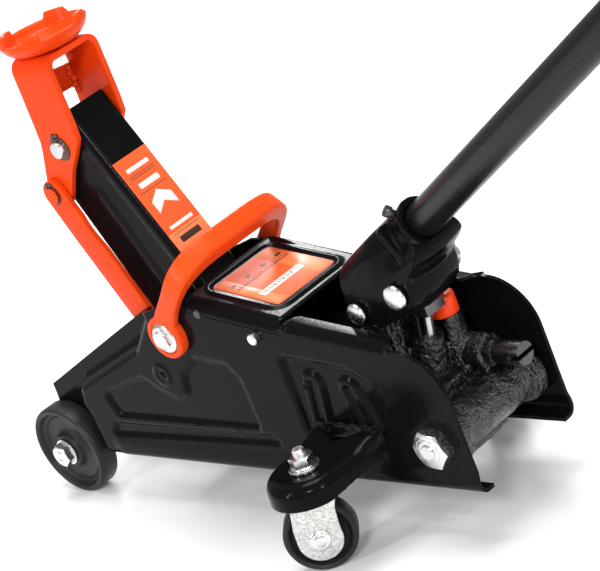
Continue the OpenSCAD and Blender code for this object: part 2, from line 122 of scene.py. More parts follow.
def rounded(points, radius, n=6):
    """A closed outline with its corners rounded. radius is one number or one for each corner."""
    out = []
    count = len(points)
    for i in range(count):
        r = radius[i] if isinstance(radius, (list, tuple)) else radius
        p, a, b = (Vector(points[k % count]) for k in (i, i - 1, i + 1))
        to_a, to_b = (a - p), (b - p)
        cut = min(r / math.tan(to_a.angle(to_b) / 2), to_a.length * 0.49, to_b.length * 0.49)
        if r <= 0 or cut < 1e-6:
            out.append(tuple(p))
            continue
        start, end = p + to_a.normalized() * cut, p + to_b.normalized() * cut
        for k in range(n + 1):
            t = k / n
            out.append(tuple(start * (1 - t) ** 2 + p * 2 * t * (1 - t) + end * t ** 2))
    return out


def new_object(name, data):
    obj = bpy.data.objects.new(name, data)
    bpy.context.scene.collection.objects.link(obj)
    return obj


def edit_mesh(mesh, *steps):
    """Runs bmesh steps on a mesh."""
    bm = bmesh.new()
    bm.from_mesh(mesh)
    for step in steps:
        step(bm)
    bm.to_mesh(mesh)
    bm.free()


def merge_doubles(bm):
    bmesh.ops.remove_doubles(bm, verts=bm.verts, dist=1e-6)


def face_outwards(bm):
    bmesh.ops.recalc_face_normals(bm, faces=bm.faces)


def grid(name, points, wrap_rows=False, wrap_cols=False, caps=False):
    """A surface from rows of points in the jack's millimetres. caps closes the first and last row."""
    rows, cols = len(points), len(points[0])
    faces = []
    for i in range(rows if wrap_rows else rows - 1):
        for j in range(cols if wrap_cols else cols - 1):
            a, b = i * cols, (i + 1) % rows * cols
            k = (j + 1) % cols
            faces.append((a + j, a + k, b + k, b + j))
    if caps:
        faces.append(tuple(range(cols))[::-1])
        faces.append(tuple(range((rows - 1) * cols, rows * cols)))
    mesh = bpy.data.meshes.new(name)
    mesh.from_pydata([P(*p) for row in points for p in row], [], faces)
    mesh.validate()
    edit_mesh(mesh, merge_doubles, face_outwards)
    return new_object(name, mesh)


def mesh_of(obj):
    """The object's mesh with its modifiers, or its curve as a mesh."""
    return bpy.data.meshes.new_from_object(obj.evaluated_get(bpy.context.evaluated_depsgraph_get()))


def modified(obj, kind, **settings):
    """Applies one modifier with these settings."""
    mod = obj.modifiers.new("step", kind)
    for key, value in settings.items():
        setattr(mod, key, value)
    mesh = mesh_of(obj)
    mesh.name = obj.name
    obj.modifiers.clear()
    obj.data = mesh
    return obj


def bevel(obj, width, segments=2, angle=35):
    """Rounds every edge sharper than the angle. width is in millimetres."""
    return modified(obj, "BEVEL", width=width / 1000, segments=segments, limit_method="ANGLE",
                    angle_limit=math.radians(angle))


def thicken(obj, thickness, offset=-1.0):
    return modified(obj, "SOLIDIFY", thickness=thickness / 1000, offset=offset, use_even_offset=True)


def molten(obj, voxel, rounds, lumps=0.0, scale=60.0):
    """Melts a piece into one skin with soft fillets, then roughens it by lumps millimetres."""
    modified(obj, "REMESH", mode="VOXEL", voxel_size=voxel / 1000)
    modified(obj, "SMOOTH", factor=0.5, iterations=rounds)
    if lumps:
        mesh = obj.data
        normals = np.empty(len(mesh.vertices) * 3)
        mesh.vertices.foreach_get("normal", normals)
        for vert, normal in zip(mesh.vertices, normals.reshape(-1, 3)):
            p = vert.co * scale
            height = noise.fractal(p, 0.6, 2.1, 4) + 0.35 * noise.noise(p * 5)
            vert.co += Vector(normal) * height * lumps / 1000
    return obj


def soften(obj, angle=38):
    """Smooth shading with sharp edges kept above the angle."""
    def shade(bm):
        for face in bm.faces:
            face.smooth = True
        for edge in bm.edges:
            edge.smooth = len(edge.link_faces) == 2 and edge.calc_face_angle(0) < math.radians(angle)
    edit_mesh(obj.data, shade)


def join(objs, name):
    """Joins several objects into a new one."""
    bm = bmesh.new()
    for o in objs:
        bm.from_mesh(o.data)
    mesh = bpy.data.meshes.new(name)
    bm.to_mesh(mesh)
    bm.free()
    for o in objs:
        bpy.data.objects.remove(o)
    return new_object(name, mesh)


def mirror_y(obj, name):
    """A copy of the object on the other side of the jack."""
    mesh = obj.data.copy()
    mesh.transform(Matrix.Scale(-1, 4, Vector((0, 1, 0))))
    mesh.flip_normals()
    return new_object(name, mesh)


def both(obj, name):
    """The piece and its twin on the other side, joined."""
    return join([obj, mirror_y(obj, name + "_twin")], name)


def flat_slab(name, loops, thickness, edge, resolution, place):
    """A filled outline with rounded edges, put in place by a matrix in the jack's millimetres."""
    curve = bpy.data.curves.new(name, "CURVE")
    curve.dimensions = "2D"
    curve.fill_mode = "BOTH"
    for loop in loops:
        spline = curve.splines.new("POLY")
        spline.points.add(len(loop) - 1)
        for point, (u, v) in zip(spline.points, loop):
            point.co = (u, v, 0, 1)
        spline.use_cyclic_u = True
    curve.extrude = max(thickness / 2 - edge, 0.001)
    curve.bevel_depth = edge
    curve.bevel_resolution = resolution
    curve.offset = -edge
    outline = new_object(name, curve)
    mesh = mesh_of(outline)
    bpy.data.objects.remove(outline)
    mesh.transform(place)
    mesh.transform(Matrix.Translation(Vector((SHIFT, 0, 0))) @ Matrix.Scale(0.001, 4))
    edit_mesh(mesh, merge_doubles, face_outwards)
    return new_object(name, mesh)


def standing(y):
    """Stands an (x, z) outline along the jack, at a distance across it."""
    return Matrix(((1, 0, 0, 0), (0, 0, -1, y), (0, 1, 0, 0), (0, 0, 0, 1)))


def slab_left(name, loops, inner, outer, edge=0.5, resolution=2):
    """A plate standing along the jack, between two distances on the left."""
    return flat_slab(name, loops, outer - inner, edge, resolution, standing(-(inner + outer) / 2))


def facing(origin, u, v, n):
    """Lays a flat drawing at an origin, with its own axes along u, v and n."""
    m = Matrix((u, v, n)).transposed().to_4x4()
    m.translation = origin
    return m


def axis_matrix(origin, axis):
    """Moves local +Z onto an axis from an origin, in the jack's millimetres."""
    turn = Vector(UP).rotation_difference(Vector(axis).normalized()).to_matrix().to_4x4()
    return Matrix.Translation(Vector(origin)) @ turn


def lathe(name, profile, origin, axis=LEFT, segments=48, closed=False, lift=0.0):
    """A turned piece: (radius, height above the lift) points along an axis, in a ring if closed."""
    m = axis_matrix(origin, axis)
    rows = [[m @ Vector((r * math.cos(a), r * math.sin(a), h + lift)) for a in round_turn(segments)]
            for r, h in profile]
    return grid(name, rows, wrap_rows=closed, wrap_cols=True)


def hexagon(name, across, height, origin, axis=LEFT, turn=0.0, dish=0.0):
    """A hexagon with a chamfered top. dish sinks the middle of its top."""
    half = across / 2
    flat = half * 0.94
    m = axis_matrix(origin, axis)
    rings = [[], [], [], [], []]
    for a in round_turn(96):
        r = half / math.cos((a + turn) % (math.pi / 3) - math.pi / 6)
        crown = height - max(0.0, r - flat) * math.tan(math.radians(30))
        for ring, (radius, h) in zip(rings, [(0, 0), (r, 0), (r, crown), (flat, height),
                                             (half * 0.72, height - dish)]):
            ring.append(m @ Vector((radius * math.cos(a), radius * math.sin(a), h)))
    rings.append([m @ Vector((0, 0, height - dish))] * 96)
    return grid(name, rings, wrap_cols=True)


def cad_copy(node, name):
    """A copy of a CAD node's mesh, with its flat faces merged."""
    source = NODES[node]
    mesh = source.data.copy()
    mesh.transform(source.matrix_world)
    edit_mesh(mesh, merge_doubles, lambda bm: bmesh.ops.dissolve_limit(
        bm, angle_limit=math.radians(1.5), verts=bm.verts, edges=bm.edges))
    return new_object(name, mesh)


def eased(node, width=0.5, segments=2):
    """A CAD node's copy with its edges broken."""
    return bevel(cad_copy(node, node + "_eased"), width, segments)


# ---------- Materials ----------

class Recipe:
    """A material's node tree, with short ways to add nodes to it."""

    def __init__(self, name, metallic=0.0):
        self.material = bpy.data.materials.new(name)
        self.material.use_nodes = True
        self.tree = self.material.node_tree
        self.shader = self.tree.nodes["Principled BSDF"].inputs
        self.shader["Metallic"].default_value = metallic
        self.where = self.tree.nodes.new("ShaderNodeTexCoord").outputs["Object"]

    def add(self, kind, output, **inputs):
        """Adds a node, setting or linking its inputs. An input's name has _ for each space."""
        node = self.tree.nodes.new("ShaderNode" + kind)
        for key, value in inputs.items():
            self.feed(node.inputs[key.replace("_", " ")], value)
        return node.outputs[output]

    def feed(self, socket, value):
        if isinstance(value, bpy.types.NodeSocket):
            self.tree.links.new(value, socket)
        else:
            socket.default_value = value

    def noise(self, scale, detail=3.0, rough=0.5, stretch=None):
        where = self.add("Mapping", "Vector", Vector=self.where, Scale=stretch) if stretch else self.where
        return self.add("TexNoise", "Fac", Vector=where, Scale=scale, Detail=detail, Roughness=rough)

    def ramp(self, value, low, high, to_low=0.0, to_high=1.0):
        return self.add("MapRange", "Result", Value=value, From_Min=low, From_Max=high, To_Min=to_low,
                        To_Max=to_high)

    def blend(self, factor, a, b):
        node = self.tree.nodes.new("ShaderNodeMix")
        node.data_type = "RGBA"
        sockets = {s.identifier: s for s in node.inputs}
        for key, value in (("A_Color", a), ("B_Color", b), ("Factor_Float", factor)):
            self.feed(sockets[key], (*value, 1) if isinstance(value, tuple) else value)
        return {s.identifier: s for s in node.outputs}["Result_Color"]

    def combine(self, operation, a, b):
        node = self.tree.nodes.new("ShaderNodeMath")
        node.operation = operation
        self.feed(node.inputs[0], a)
        self.feed(node.inputs[1], b)
        return node.outputs[0]

    def rubbed(self, amount):
        """White on worn outer edges, times an amount."""
        edges = self.ramp(self.add("NewGeometry", "Pointiness"), 0.56, 0.66)
        return self.combine("MULTIPLY", edges, amount)

    def done(self, base, rough, height, strength, depth, specular=0.5):
        self.feed(self.shader["Base Color"], base)
        self.feed(self.shader["Roughness"], rough)
        self.feed(self.shader["Specular IOR Level"], specular)
        normal = self.add("Bump", "Normal", Strength=strength, Distance=depth, Height=height)
        self.feed(self.shader["Normal"], normal)
        return self.material


def scaled(color, factor, lift=0.0):
    return tuple(min(1.0, c * factor + lift) for c in color)


def paint(name, color, worn, rough, specular, wear):
    """Sprayed gloss paint: orange peel, faint dust and polish marks, and rubbed edges."""
    m = Recipe(name)
    base = m.blend(m.ramp(m.noise(22, 4), 0.35, 0.65), color, scaled(color, 0.82))
    dust = m.ramp(m.noise(900, 2, 0.6), 0.66, 0.8)
    base = m.blend(m.combine("MULTIPLY", dust, 0.35), base, scaled(color, 1.15, 0.03))
    base = m.blend(m.rubbed(m.ramp(m.noise(420), 0.42, 0.6, 0.0, wear)), base, worn)
    return m.done(base, m.ramp(m.noise(60, 5, 0.6), 0.3, 0.7, *rough), m.noise(330, 2, 0.4), 0.12, 0.0006,
                  specular)


def casting(name, color, specular):
    """Rough sand casting under thick gloss paint."""
    m = Recipe(name)
    pits, lumps = m.noise(340, 3, 0.6), m.noise(120, 3, 0.55)
    base = m.blend(m.ramp(lumps, 0.35, 0.65), color, scaled(color, 1.6))
    base = m.blend(m.ramp(m.noise(55, 4, 0.6), 0.6, 0.74, 0.0, 0.55), base, (0.032, 0.018, 0.012))
    height = m.combine("ADD", m.combine("MULTIPLY", lumps, 1.6), pits)
    return m.done(base, m.ramp(pits, 0.35, 0.65, 0.04, 0.14), height, 1.0, 0.002, specular)


def plastic(name, color, rough, grain, scale=500, shade=0.85, soft=0.0, specular=0.25):
    """Moulded plastic with a fine grain, flow marks and paler rubbed edges."""
    m = Recipe(name)
    base = m.blend(m.ramp(m.noise(16), 0.35, 0.65), color, scaled(color, shade))
    base = m.blend(m.rubbed(0.5), base, scaled(color, 1.1, 0.03))
    if soft:
        m.shader["Subsurface Weight"].default_value = soft
        m.shader["Subsurface Radius"].default_value = (0.004, 0.0015, 0.0006)
    return m.done(base, m.ramp(m.noise(90, 4), 0.3, 0.7, *rough), m.noise(scale, 2), grain, 0.0004, specular)


def metal(name, color, rough, marks, scale, stretch=None, tarnish=0.6):
    """Plated or machined steel with fine tool marks and dull spots."""
    m = Recipe(name, 1.0)
    base = m.blend(m.ramp(m.noise(170, 4, 0.6), 0.5, 0.75), color, scaled(color, tarnish))
    fine = m.noise(scale, 4, 0.6, stretch)
    return m.done(base, m.ramp(fine, 0.3, 0.7, *rough), fine, marks, 0.0003)


def galvanised(name):
    """Zinc-coated sheet with a sparkling flake."""
    m = Recipe(name, 1.0)
    color = m.add("TexVoronoi", "Color", Vector=m.where, Scale=900)
    tone, gloss, height = (m.add("SeparateColor", key, Color=color) for key in ("Red", "Green", "Blue"))
    base = m.blend(m.ramp(tone, 0, 1), (0.50, 0.49, 0.475), (0.80, 0.79, 0.77))
    return m.done(base, m.ramp(gloss, 0, 1, 0.3, 0.6), height, 0.25, 0.0003)


def matt(name, color, rough):
    m = Recipe(name)
    base = m.blend(m.ramp(m.noise(3), 0.3, 0.7), color, scaled(color, 0.985))
    m.feed(m.shader["Base Color"], base)
    m.feed(m.shader["Roughness"], rough)
    return m.material


BLACK = (0.0045, 0.0045, 0.0052)
BARE = (0.05, 0.048, 0.046)
MATERIALS = {name: make(name, *values) for name, make, *values in (
    ("black_paint", paint, BLACK, BARE, (0.1, 0.2), 0.055, 0.25),
    ("tube_paint", paint, BLACK, BARE, (0.24, 0.34), 0.3, 0.2),
    ("orange_paint", paint, (0.86, 0.060, 0.005), (0.96, 0.30, 0.14), (0.2, 0.32), 0.1, 0.6),
    ("orange_plastic", plastic, (0.88, 0.072, 0.007), (0.26, 0.38), 0.08, 500, 0.85, 0.12, 0.12),
    ("cap_plastic", plastic, (0.88, 0.055, 0.008), (0.2, 0.34), 0.1),
    ("label", plastic, (0.78, 0.115, 0.028), (0.32, 0.42), 0.04, 500, 0.9),
    ("label_pale", plastic, (0.80, 0.19, 0.06), (0.32, 0.42), 0.04, 500, 0.94),
    ("label_white", plastic, (0.80, 0.74, 0.70), (0.25, 0.35), 0.04, 500, 0.96),
    ("label_dark", plastic, (0.05, 0.028, 0.022), (0.3, 0.4), 0.04),
    ("zinc", metal, (0.74, 0.76, 0.76), (0.18, 0.32), 0.08, 500, None, 0.86),
    ("ground_steel", metal, (0.62, 0.60, 0.57), (0.12, 0.26), 0.1, 260, (1, 1, 14)),
    ("black_casting", casting, (0.003, 0.003, 0.0035), 0.8),
    ("dark_steel", metal, (0.10, 0.10, 0.105), (0.25, 0.42), 0.15, 400),
    ("grey_steel", metal, (0.17, 0.17, 0.175), (0.3, 0.48), 0.2, 350),
    ("wheel_plastic", plastic, (0.018, 0.018, 0.020), (0.34, 0.52), 0.3, 700, 0.7),
    ("caster_plastic", plastic, (0.016, 0.016, 0.017), (0.4, 0.6), 0.7, 420, 0.6),
    ("grip_rubber", plastic, (0.012, 0.012, 0.013), (0.5, 0.7), 0.4, 600, 0.8),
    ("seal_rubber", plastic, (0.01, 0.01, 0.01), (0.4, 0.6), 0.2, 600),
    ("galvanised", galvanised),
)}
for part in frame["record"]["subparts"]:
    node = NODES[part["node"]]
    node.data.materials.clear()
    node.data.materials.append(MATERIALS[part["material_slot"]])


def finish_piece(obj, body, slot, material=None, replaces=(), angle=38):
    """Gives a piece its shading, material and body; the material is the slot's own unless another is given."""
    if angle:
        soften(obj, angle)
    obj.data.materials.clear()
    obj.data.materials.append(MATERIALS[material or slot])
    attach(obj, body)
    if replaces:
        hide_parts(replaces)


def finish_pair(left, body, slot, node, material=None, angle=38, twin=None):
    """Finishes a left-hand piece and its twin. A body that ends in _ takes the side's name."""
    right = mirror_y(left, twin or left.name.replace("left", "right"))
    for piece, side in ((left, "left"), (right, "right")):
        own_body = body + side if body.endswith("_") else body
        finish_piece(piece, own_body, slot, material, node + "_" + side, angle)


# ---------- Side plates ----------

def segment_distance(a, b, x, z):
    """Distance from each (x, z) to the segment a-b."""
    dx, dz = b[0] - a[0], b[1] - a[1]
    t = np.clip(((x - a[0]) * dx + (z - a[1]) * dz) / (dx * dx + dz * dz), 0, 1)
    return np.hypot(x - a[0] - t * dx, z - a[1] - t * dz)


def outline_distance(points, x, z):
    """Signed distance from each (x, z) to a closed outline, positive inside."""
    best = np.full(x.shape, 1e9)
    inside = np.zeros(x.shape, bool)
    for a, b in zip(points, points[1:] + points[:1]):
        best = np.minimum(best, segment_distance(a, b, x, z))
        rise = (b[1] - a[1]) or 1e-9
        inside ^= ((a[1] > z) != (b[1] > z)) & (x < (b[0] - a[0]) * (z - a[1]) / rise + a[0])
    return np.where(inside, best, -best)


# Pressed shapes of a side plate, in its side view
FRONT_PANEL = rounded([(-189, 84), (-163, 93), (-138, 100), (-122, 90), (-108, 84), (-96, 90), (-92, 104),
                       (-74, 118), (-44, 115), (-35, 104), (-35, 66), (-182, 66)],
                      [8, 8, 8, 10, 8, 8, 8, 8, 5, 5, 3, 6])
REAR_PANEL = rounded([(12, 124), (68, 118), (84, 108), (88, 92), (80, 66), (10, 66)], [6, 8, 14, 10, 3, 3])
GROOVE = rounded([(-199, 50), (-18, 55), (-28, 63), (-190, 61)], [3, 3, 3, 4])
OVAL_BUMPS = [((33, 104), (27, 76), 9.5), ((64, 101), (70, 76), 9.5)]
# The nose, pressed inwards ahead of a bend that runs from the top edge down
NOSE = [(-104, 143), (-130, 117), (-163.6, 103), (-212, 83), (-216, 74), (-213, 64), (-213, 20), (-400, 20),
        (-400, 300), (-104, 300)]


def plate_top(x):
    """Height of the plate's top edge, following its rounded rear corner."""
    xs = [-271, -270.2, -268.5, -265.2, -264.6, -170, -120, -87, -61.5, -60.8, 22, 23, 27, 113]
    zs = [34, 46, 60, 69, 80.5, 123.5, 146, 156, 156, 152.5, 138.5, 143.5, 144, 131]
    z = np.interp(x, xs, zs)
    corner = 97 + np.sqrt(np.maximum(34.0 ** 2 - np.maximum(x - 113, 0) ** 2, 0))
    return np.where(x > 113, corner, z)


def plate_bottom(x):
    """Height of the plate's bottom edge, with the round end at the front axle."""
    reach = np.clip(x - FRONT_AXLE[0], -13, 13)
    end = FRONT_AXLE[1] - np.sqrt(np.maximum(13.0 ** 2 - reach ** 2, 0))
    run = np.interp(x, [-262, -246, -214, 147], [20.6, 24.0, PLATE_Z, PLATE_Z + 2])
    return np.where(x < -252, end, run)


def plate_relief(x, z):
    """How far the plate stands out of its wide face: negative where it is pressed in."""
    out = 0.0
    for outline, depth in ((FRONT_PANEL, 2.6), (REAR_PANEL, 2.8), (GROOVE, 2.2)):
        out -= depth * smoothstep((outline_distance(outline, x, z) + 2.5) / 5)
    for a, b, r in OVAL_BUMPS:
        near = r - segment_distance(a, b, x, z)
        out += 2.8 * smoothstep(near / 3.4) - 1.9 * smoothstep((near - 4.2) / 3.0)
    # A pressed ring with a small boss below the carry handle
    ring = np.hypot(x + 113, z - 103)
    out += 1.0 * (smoothstep((9 - ring) / 2.5) - smoothstep((6 - ring) / 2.0))
    out += 1.2 * smoothstep((2.6 - ring) / 1.2)
    out -= 12.4 * smoothstep(outline_distance(NOSE, x, z) / 11)
    # Stiffening roll along the bottom of the wide part
    out += 1.2 * smoothstep((50 - z) / 8) * smoothstep((x + 205) / 12)
    return out


def plate_columns():
    front = -269.5 + 12 * (1 - np.cos(np.linspace(0, math.pi / 2, 14)))
    middle = np.arange(-257.0, 112, 1.5)
    rear = 113 + 34 * np.sin(np.linspace(0, math.pi / 2, 26))
    return np.concatenate([front[:-1], middle, rear])


def side_plate():
    xs = plate_columns()
    top, bottom = plate_top(xs), plate_bottom(xs)
    rows = []
    # The bottom flange turns inwards along the wide part
    flange = 9 * smoothstep((xs + 222) / 14)
    fold_r = np.minimum(4.5, flange)
    face_y = lambda z: -(PLATE_OUT + plate_relief(xs, z))
    base_y = face_y(bottom + fold_r)
    rows.append([(x, y + f, z) for x, y, f, z in zip(xs, base_y, flange, bottom)])
    for a in np.radians(np.linspace(90, 0, 7)):
        rows.append([(x, y + r - r * math.cos(a), z + r - r * math.sin(a))
                     for x, y, r, z in zip(xs, base_y, fold_r, bottom)])
    # The face itself
    lip = 6.0 * smoothstep((xs - 24) / 8) * smoothstep((114 - xs) / 10)
    lip = np.where(lip < 1.2, 0.0, lip)
    top_r = np.minimum(4.0, lip)
    for t in np.linspace(0, 1, 74)[1:]:
        z = (bottom + fold_r) * (1 - t) + (top - top_r) * t
        rows.append([tuple(p) for p in np.stack([xs, face_y(z), z], 1)])
    # The rear top flange, folded inwards
    edge_y = face_y(top - top_r)
    for a in np.radians(np.linspace(0, 90, 7))[1:]:
        rows.append([(x, y + r - r * math.cos(a), z - r + r * math.sin(a))
                     for x, y, r, z in zip(xs, edge_y, top_r, top)])
    rows.append([(x, y + f + 4 * (f / 6.0), z) for x, y, f, z in zip(xs, edge_y, lip, top)])
    return thicken(grid("side_plate_left_shell", rows), 2.4, 1.0)


finish_pair(side_plate(), "chassis", "black_paint", "side_plate", angle=50)


# ---------- Cover plate ----------

COVER_X = (-60.0, 21.5)
COVER_Z = 163.0
COVER_SLOPE = -14.8 / 81.5


def cover_height(x):
    return COVER_Z + (x - COVER_X[0]) * COVER_SLOPE


def cover_plate():
    # Section from the middle to the left-hand edge: (y, drop below the top)
    section = [(0.0, 0.0)] + [(y, 0.0) for y in np.arange(1.2, 38.8, 1.2)]
    section += [(39.2, 0.15), (40.4, 0.6), (41.8, 1.6), (43.4, 2.9), (44.8, 4.0), (45.6, 5.0), (45.9, 6.4)]
    section += [(45.9, d) for d in np.linspace(8, 21.3, 12)]
    full = [(-y, d) for y, d in section[::-1]] + section[1:]
    rows = []
    for x in np.concatenate([[COVER_X[0], COVER_X[0] + 0.5], np.arange(-58.8, 20.5, 1.1), [21.0, 21.5]]):
        row = []
        for y, drop in full:
            d = drop
            # A raised bead frames the label
            if abs(y) < 39:
                u = max(abs(x + 20.0) - 29.5, abs(y) - 27.5)
                corner = math.hypot(max(abs(x + 20.0) - 24.5, 0), max(abs(y) - 22.5, 0)) - 6.5
                edge = corner if (abs(x + 20.0) > 24.5 and abs(y) > 22.5) else u - 1.5
                d -= 1.3 * float(smoothstep(1 - abs(edge - 2.6) / 3.0))
            # The edges dip a little at both ends
            end = min(x - COVER_X[0], COVER_X[1] - x)
            d += 0.5 * float(smoothstep((2.0 - end) / 2.0))
            row.append((x, y, cover_height(x) - d - 1.3))
        rows.append(row)
    plate = thicken(grid("cover_plate_skin", rows), 1.6)
    finish_piece(plate, "chassis", "black_paint", replaces="cover_plate", angle=45)


def box_loop(u0, v0, u1, v1, r=0.0):
    pts = [(u0, v0), (u1, v0), (u1, v1), (u0, v1)]
    return rounded(pts, r, 4) if r else pts


def drawing(name, place, base, shapes, body, slot, node):
    """A printed label: a base sheet and flat shapes of other inks on it, without any lettering."""
    sheet = flat_slab(name, [base], 0.3, 0.1, 1, place)
    finish_piece(sheet, body, slot, replaces=node, angle=30)
    inks = {}
    for ink, lift, loops in shapes:
        for loop in loops:
            spot = place @ Matrix.Translation((0, 0, lift))
            inks.setdefault(ink, []).append(flat_slab(ink, [loop], 0.06, 0.02, 1, spot))
    for ink, bits in inks.items():
        finish_piece(join(bits, name + "_" + ink), body, slot, material=ink, angle=30)


def cover_label():
    along = Vector((1, 0, COVER_SLOPE)).normalized()
    out = Vector((-COVER_SLOPE, 0, 1)).normalized()
    place = facing(Vector((-20, 0, cover_height(-20) - 1.25)) + out * 0.15, along, (0, 1, 0), out)
    pale = [box_loop(-28, -26, 28, -17.5), box_loop(-28, 13, 28, 26)]
    rule = [box_loop(-9.6, -24, -8.8, 24)]
    ticks = [box_loop(-12.5, v, -9.0, v + 0.6) for v in np.arange(-23, 23.6, 2.9)]
    ticks += [box_loop(-17.0, v, -14.5, v + 4.5, 0.6) for v in (-23, -9, 5, 19)]
    sticker = [box_loop(6.5, -22, 13.0, 16, 0.8)]
    bars = [box_loop(8.0, v, 11.5, v + w) for v, w in zip(np.arange(-20, 14, 2.0), [0.5, 0.9, 0.4, 0.7] * 5)]
    drawing("cover_label_print", place, box_loop(-29.5, -27.5, 29.5, 27.5, 2.5),
            [("label_pale", 0.16, pale), ("label_dark", 0.2, rule + ticks), ("label_white", 0.2, sticker),
             ("label_dark", 0.26, bars)], "chassis", "label", "cover_label")


cover_plate()
cover_label()


# ---------- Carry handle ----------

def squircle(a, b, r, n=5):
    """A rounded rectangle, a by b, as a closed loop of points."""
    loop = []
    for sx, sy, start in ((1, 1, 0), (-1, 1, 90), (-1, -1, 180), (1, -1, 270)):
        loop += arc(sx * (a / 2 - r), sy * (b / 2 - r), r, start, start + 90, n)
    return loop


def carry_handle():
    side = [(*CARRY_PIVOT, 49.8), (-82.6, 141.5, 49.8), (-79.0, 147.5, 49.8), (-73.2, 155.0, 49.8),
            (-66.0, 162.8, 49.6), (-59.5, 169.6, 49.2)]
    knee = [(-54.0, 175.4, 47.8), (-49.6, 180.0, 44.6), (-46.4, 183.4, 40.0), (-44.4, 185.4, 34.0),
            (-43.0, 186.6, 28.0)]
    bar = [(-42.2, 187.2, y) for y in (21, 14, 7, 0)]
    half = side + knee + bar
    path = [(x, -y, z) for x, z, y in half] + [(x, y, z) for x, z, y in half[::-1][1:]]
    sizes = [(22, 6.2), (21, 6.2), (18.5, 6.4), (15.6, 6.8), (14.2, 7.6), (14.4, 9.0), (15.0, 10.8),
             (15.6, 12.4),
             (15.8, 13.2)] + [(15.8, 13.4)] * 6
    sizes += sizes[::-1][1:]
    spine = [Vector(p) for p in path]
    rows = []
    for i, (p, (a, b)) in enumerate(zip(spine, sizes)):
        along = (spine[min(i + 1, len(spine) - 1)] - spine[max(i - 1, 0)]).normalized()
        wide = Vector((0.76, 0, -0.65))
        wide = (wide - along * wide.dot(along)).normalized()
        flat = along.cross(wide).normalized()
        rows.append([p + wide * u + flat * v for u, v in squircle(a, b, 2.6)])
    bow = grid("carry_handle_bar", rows, wrap_cols=True, caps=True)
    modified(bow, "SUBSURF", levels=1, render_levels=1)
    eyes = []
    for s in (-1, 1):
        profile = [(4.2, 44.6), (13.8, 44.6), (15.2, 45.6), (15.5, 47.0), (15.5, 50.9), (15.0, 52.6),
                   (13.8, 53.2),
                   (12.3, 53.2), (11.4, 52.7), (11.15, 51.6), (11.1, 50.9), (4.2, 50.9)]
        eyes.append(lathe("eye", profile, (CARRY_PIVOT[0], 0, CARRY_PIVOT[1]), (0, s, 0), 72, closed=True))
    whole = join([bow] + eyes, "carry_handle_moulding")
    finish_piece(whole, "carry_handle", "orange_plastic", replaces="carry_handle", angle=50)


carry_handle()


# ---------- Handle socket ----------

HANDLE_DIR = Vector((cosd(HANDLE_ANGLE), 0, sind(HANDLE_ANGLE)))
HANDLE_DOWN = Vector((sind(HANDLE_ANGLE), 0, -cosd(HANDLE_ANGLE)))
RIM = Vector((SOCKET_RIM[0], 0, SOCKET_RIM[1]))


def on_handle(s, y, b):
    """A point from its place along the handle, across it, and below its axis."""
    return RIM + HANDLE_DIR * s + HANDLE_DOWN * b + Vector((0, y, 0))


def to_handle(x, z):
    d = Vector((x, 0, z)) - RIM
    return d.dot(HANDLE_DIR), d.dot(HANDLE_DOWN)


pump_x, _, pump_z = JOINTS["handle_pump"]["pos_m"]
SOCKET_PIVOT = ((pump_x - SHIFT) * 1000, pump_z * 1000)
STRIKER_AT = (112.6, 155.6)


def socket_sheet():
    pivot = to_handle(*SOCKET_PIVOT)
    wall = [(-69.2, -20), (-3.0, -20), (-3.2, 8), (-6.5, 15.5), (-12.5, 17.5), (-20, 18.6), (-26.0, 21.5),
            (-29.6, 27.5), (-35.5, 32.8), (-44.6, 35.2), (-74.3, 29.8)] + arc(pivot[0], pivot[1], 11.5, 80,
                                                                              190, 8)
    wall = rounded(wall, [0, 0, 2, 3, 4, 5, 6, 6, 5, 2, 4] + [0] * 9)
    count = 40
    rows, backs = [], []
    for k in range(count + 1):
        t = k / count
        s_top = -3.2 - 66.0 * t
        half = 15.8 + 7.0 * float(smoothstep((-s_top - 6) / 34))
        corner = 15.8 - 4.5 * float(smoothstep((-s_top - 4) / 50))
        skew = 0.02 + 0.74 * t ** 1.6
        bottoms = np.arange(-15.0, 42, 0.25)
        spots = s_top - skew * (bottoms + 15.4)
        inside = outline_distance(wall, spots, bottoms) > 0.05
        b_end = float(bottoms[inside].max()) if inside.any() else 6.0
        row = [(half - corner + corner * cosd(a), -15.6 + corner - corner * sind(a))
               for a in np.linspace(90, 0, 13)]
        b0 = row[-1][1]
        for f in np.linspace(0, 1, 20)[1:]:
            b = b0 + (b_end - b0) * f
            row.append((22.8 - (22.8 - half) * (1 - float(smoothstep((b - 1) / 15))), b))
        side = [(y, -15.6) for y in np.linspace(0, half - corner, 5)[:-1]] + row
        line = [(-y, b) for y, b in side[::-1]] + side[1:]
        rows.append([on_handle(s_top - skew * (b + 15.4), y, b) for y, b in line])
        s_end = s_top - skew * (b_end + 15.4)
        if s_end > -45.5 or not backs:
            # The sheet closes round the back, bulged between the walls
            y_end = row[-1][0]
            backs.append([on_handle(s_end + 1.4 * (1 - (y / y_end) ** 2), y,
                                    b_end + 2.6 * (1 - (y / y_end) ** 2))
                          for y in np.linspace(-y_end, y_end, 25)])
    sheet = thicken(grid("sheet", rows), 2.6)
    back = thicken(grid("back", backs), 2.6, 0.0)
    tube = lathe("tube", [(11.6, -52), (11.6, -3.6), (12.2, -2.9), (15.2, -2.4), (16.6, -2.9), (16.6, -4.4),
                          (15.6, -6.6), (15.2, -10), (15.2, -52)], RIM, HANDLE_DIR, 72, closed=True)
    web_loops = [rounded([(-21.5, -14), (21.5, -14), (21.5, 16), (-21.5, 16)], 6), circle(0, 0, 13)]
    web = flat_slab("web", web_loops, 4, 0.6, 2, facing(RIM - HANDLE_DIR * 17, (0, 1, 0), HANDLE_DOWN,
                                                        HANDLE_DIR))
    whole = molten(join([sheet, back, tube, web], "handle_socket_body"), 0.8, 3)
    finish_piece(whole, "socket", "black_paint", replaces="handle_socket", angle=60)


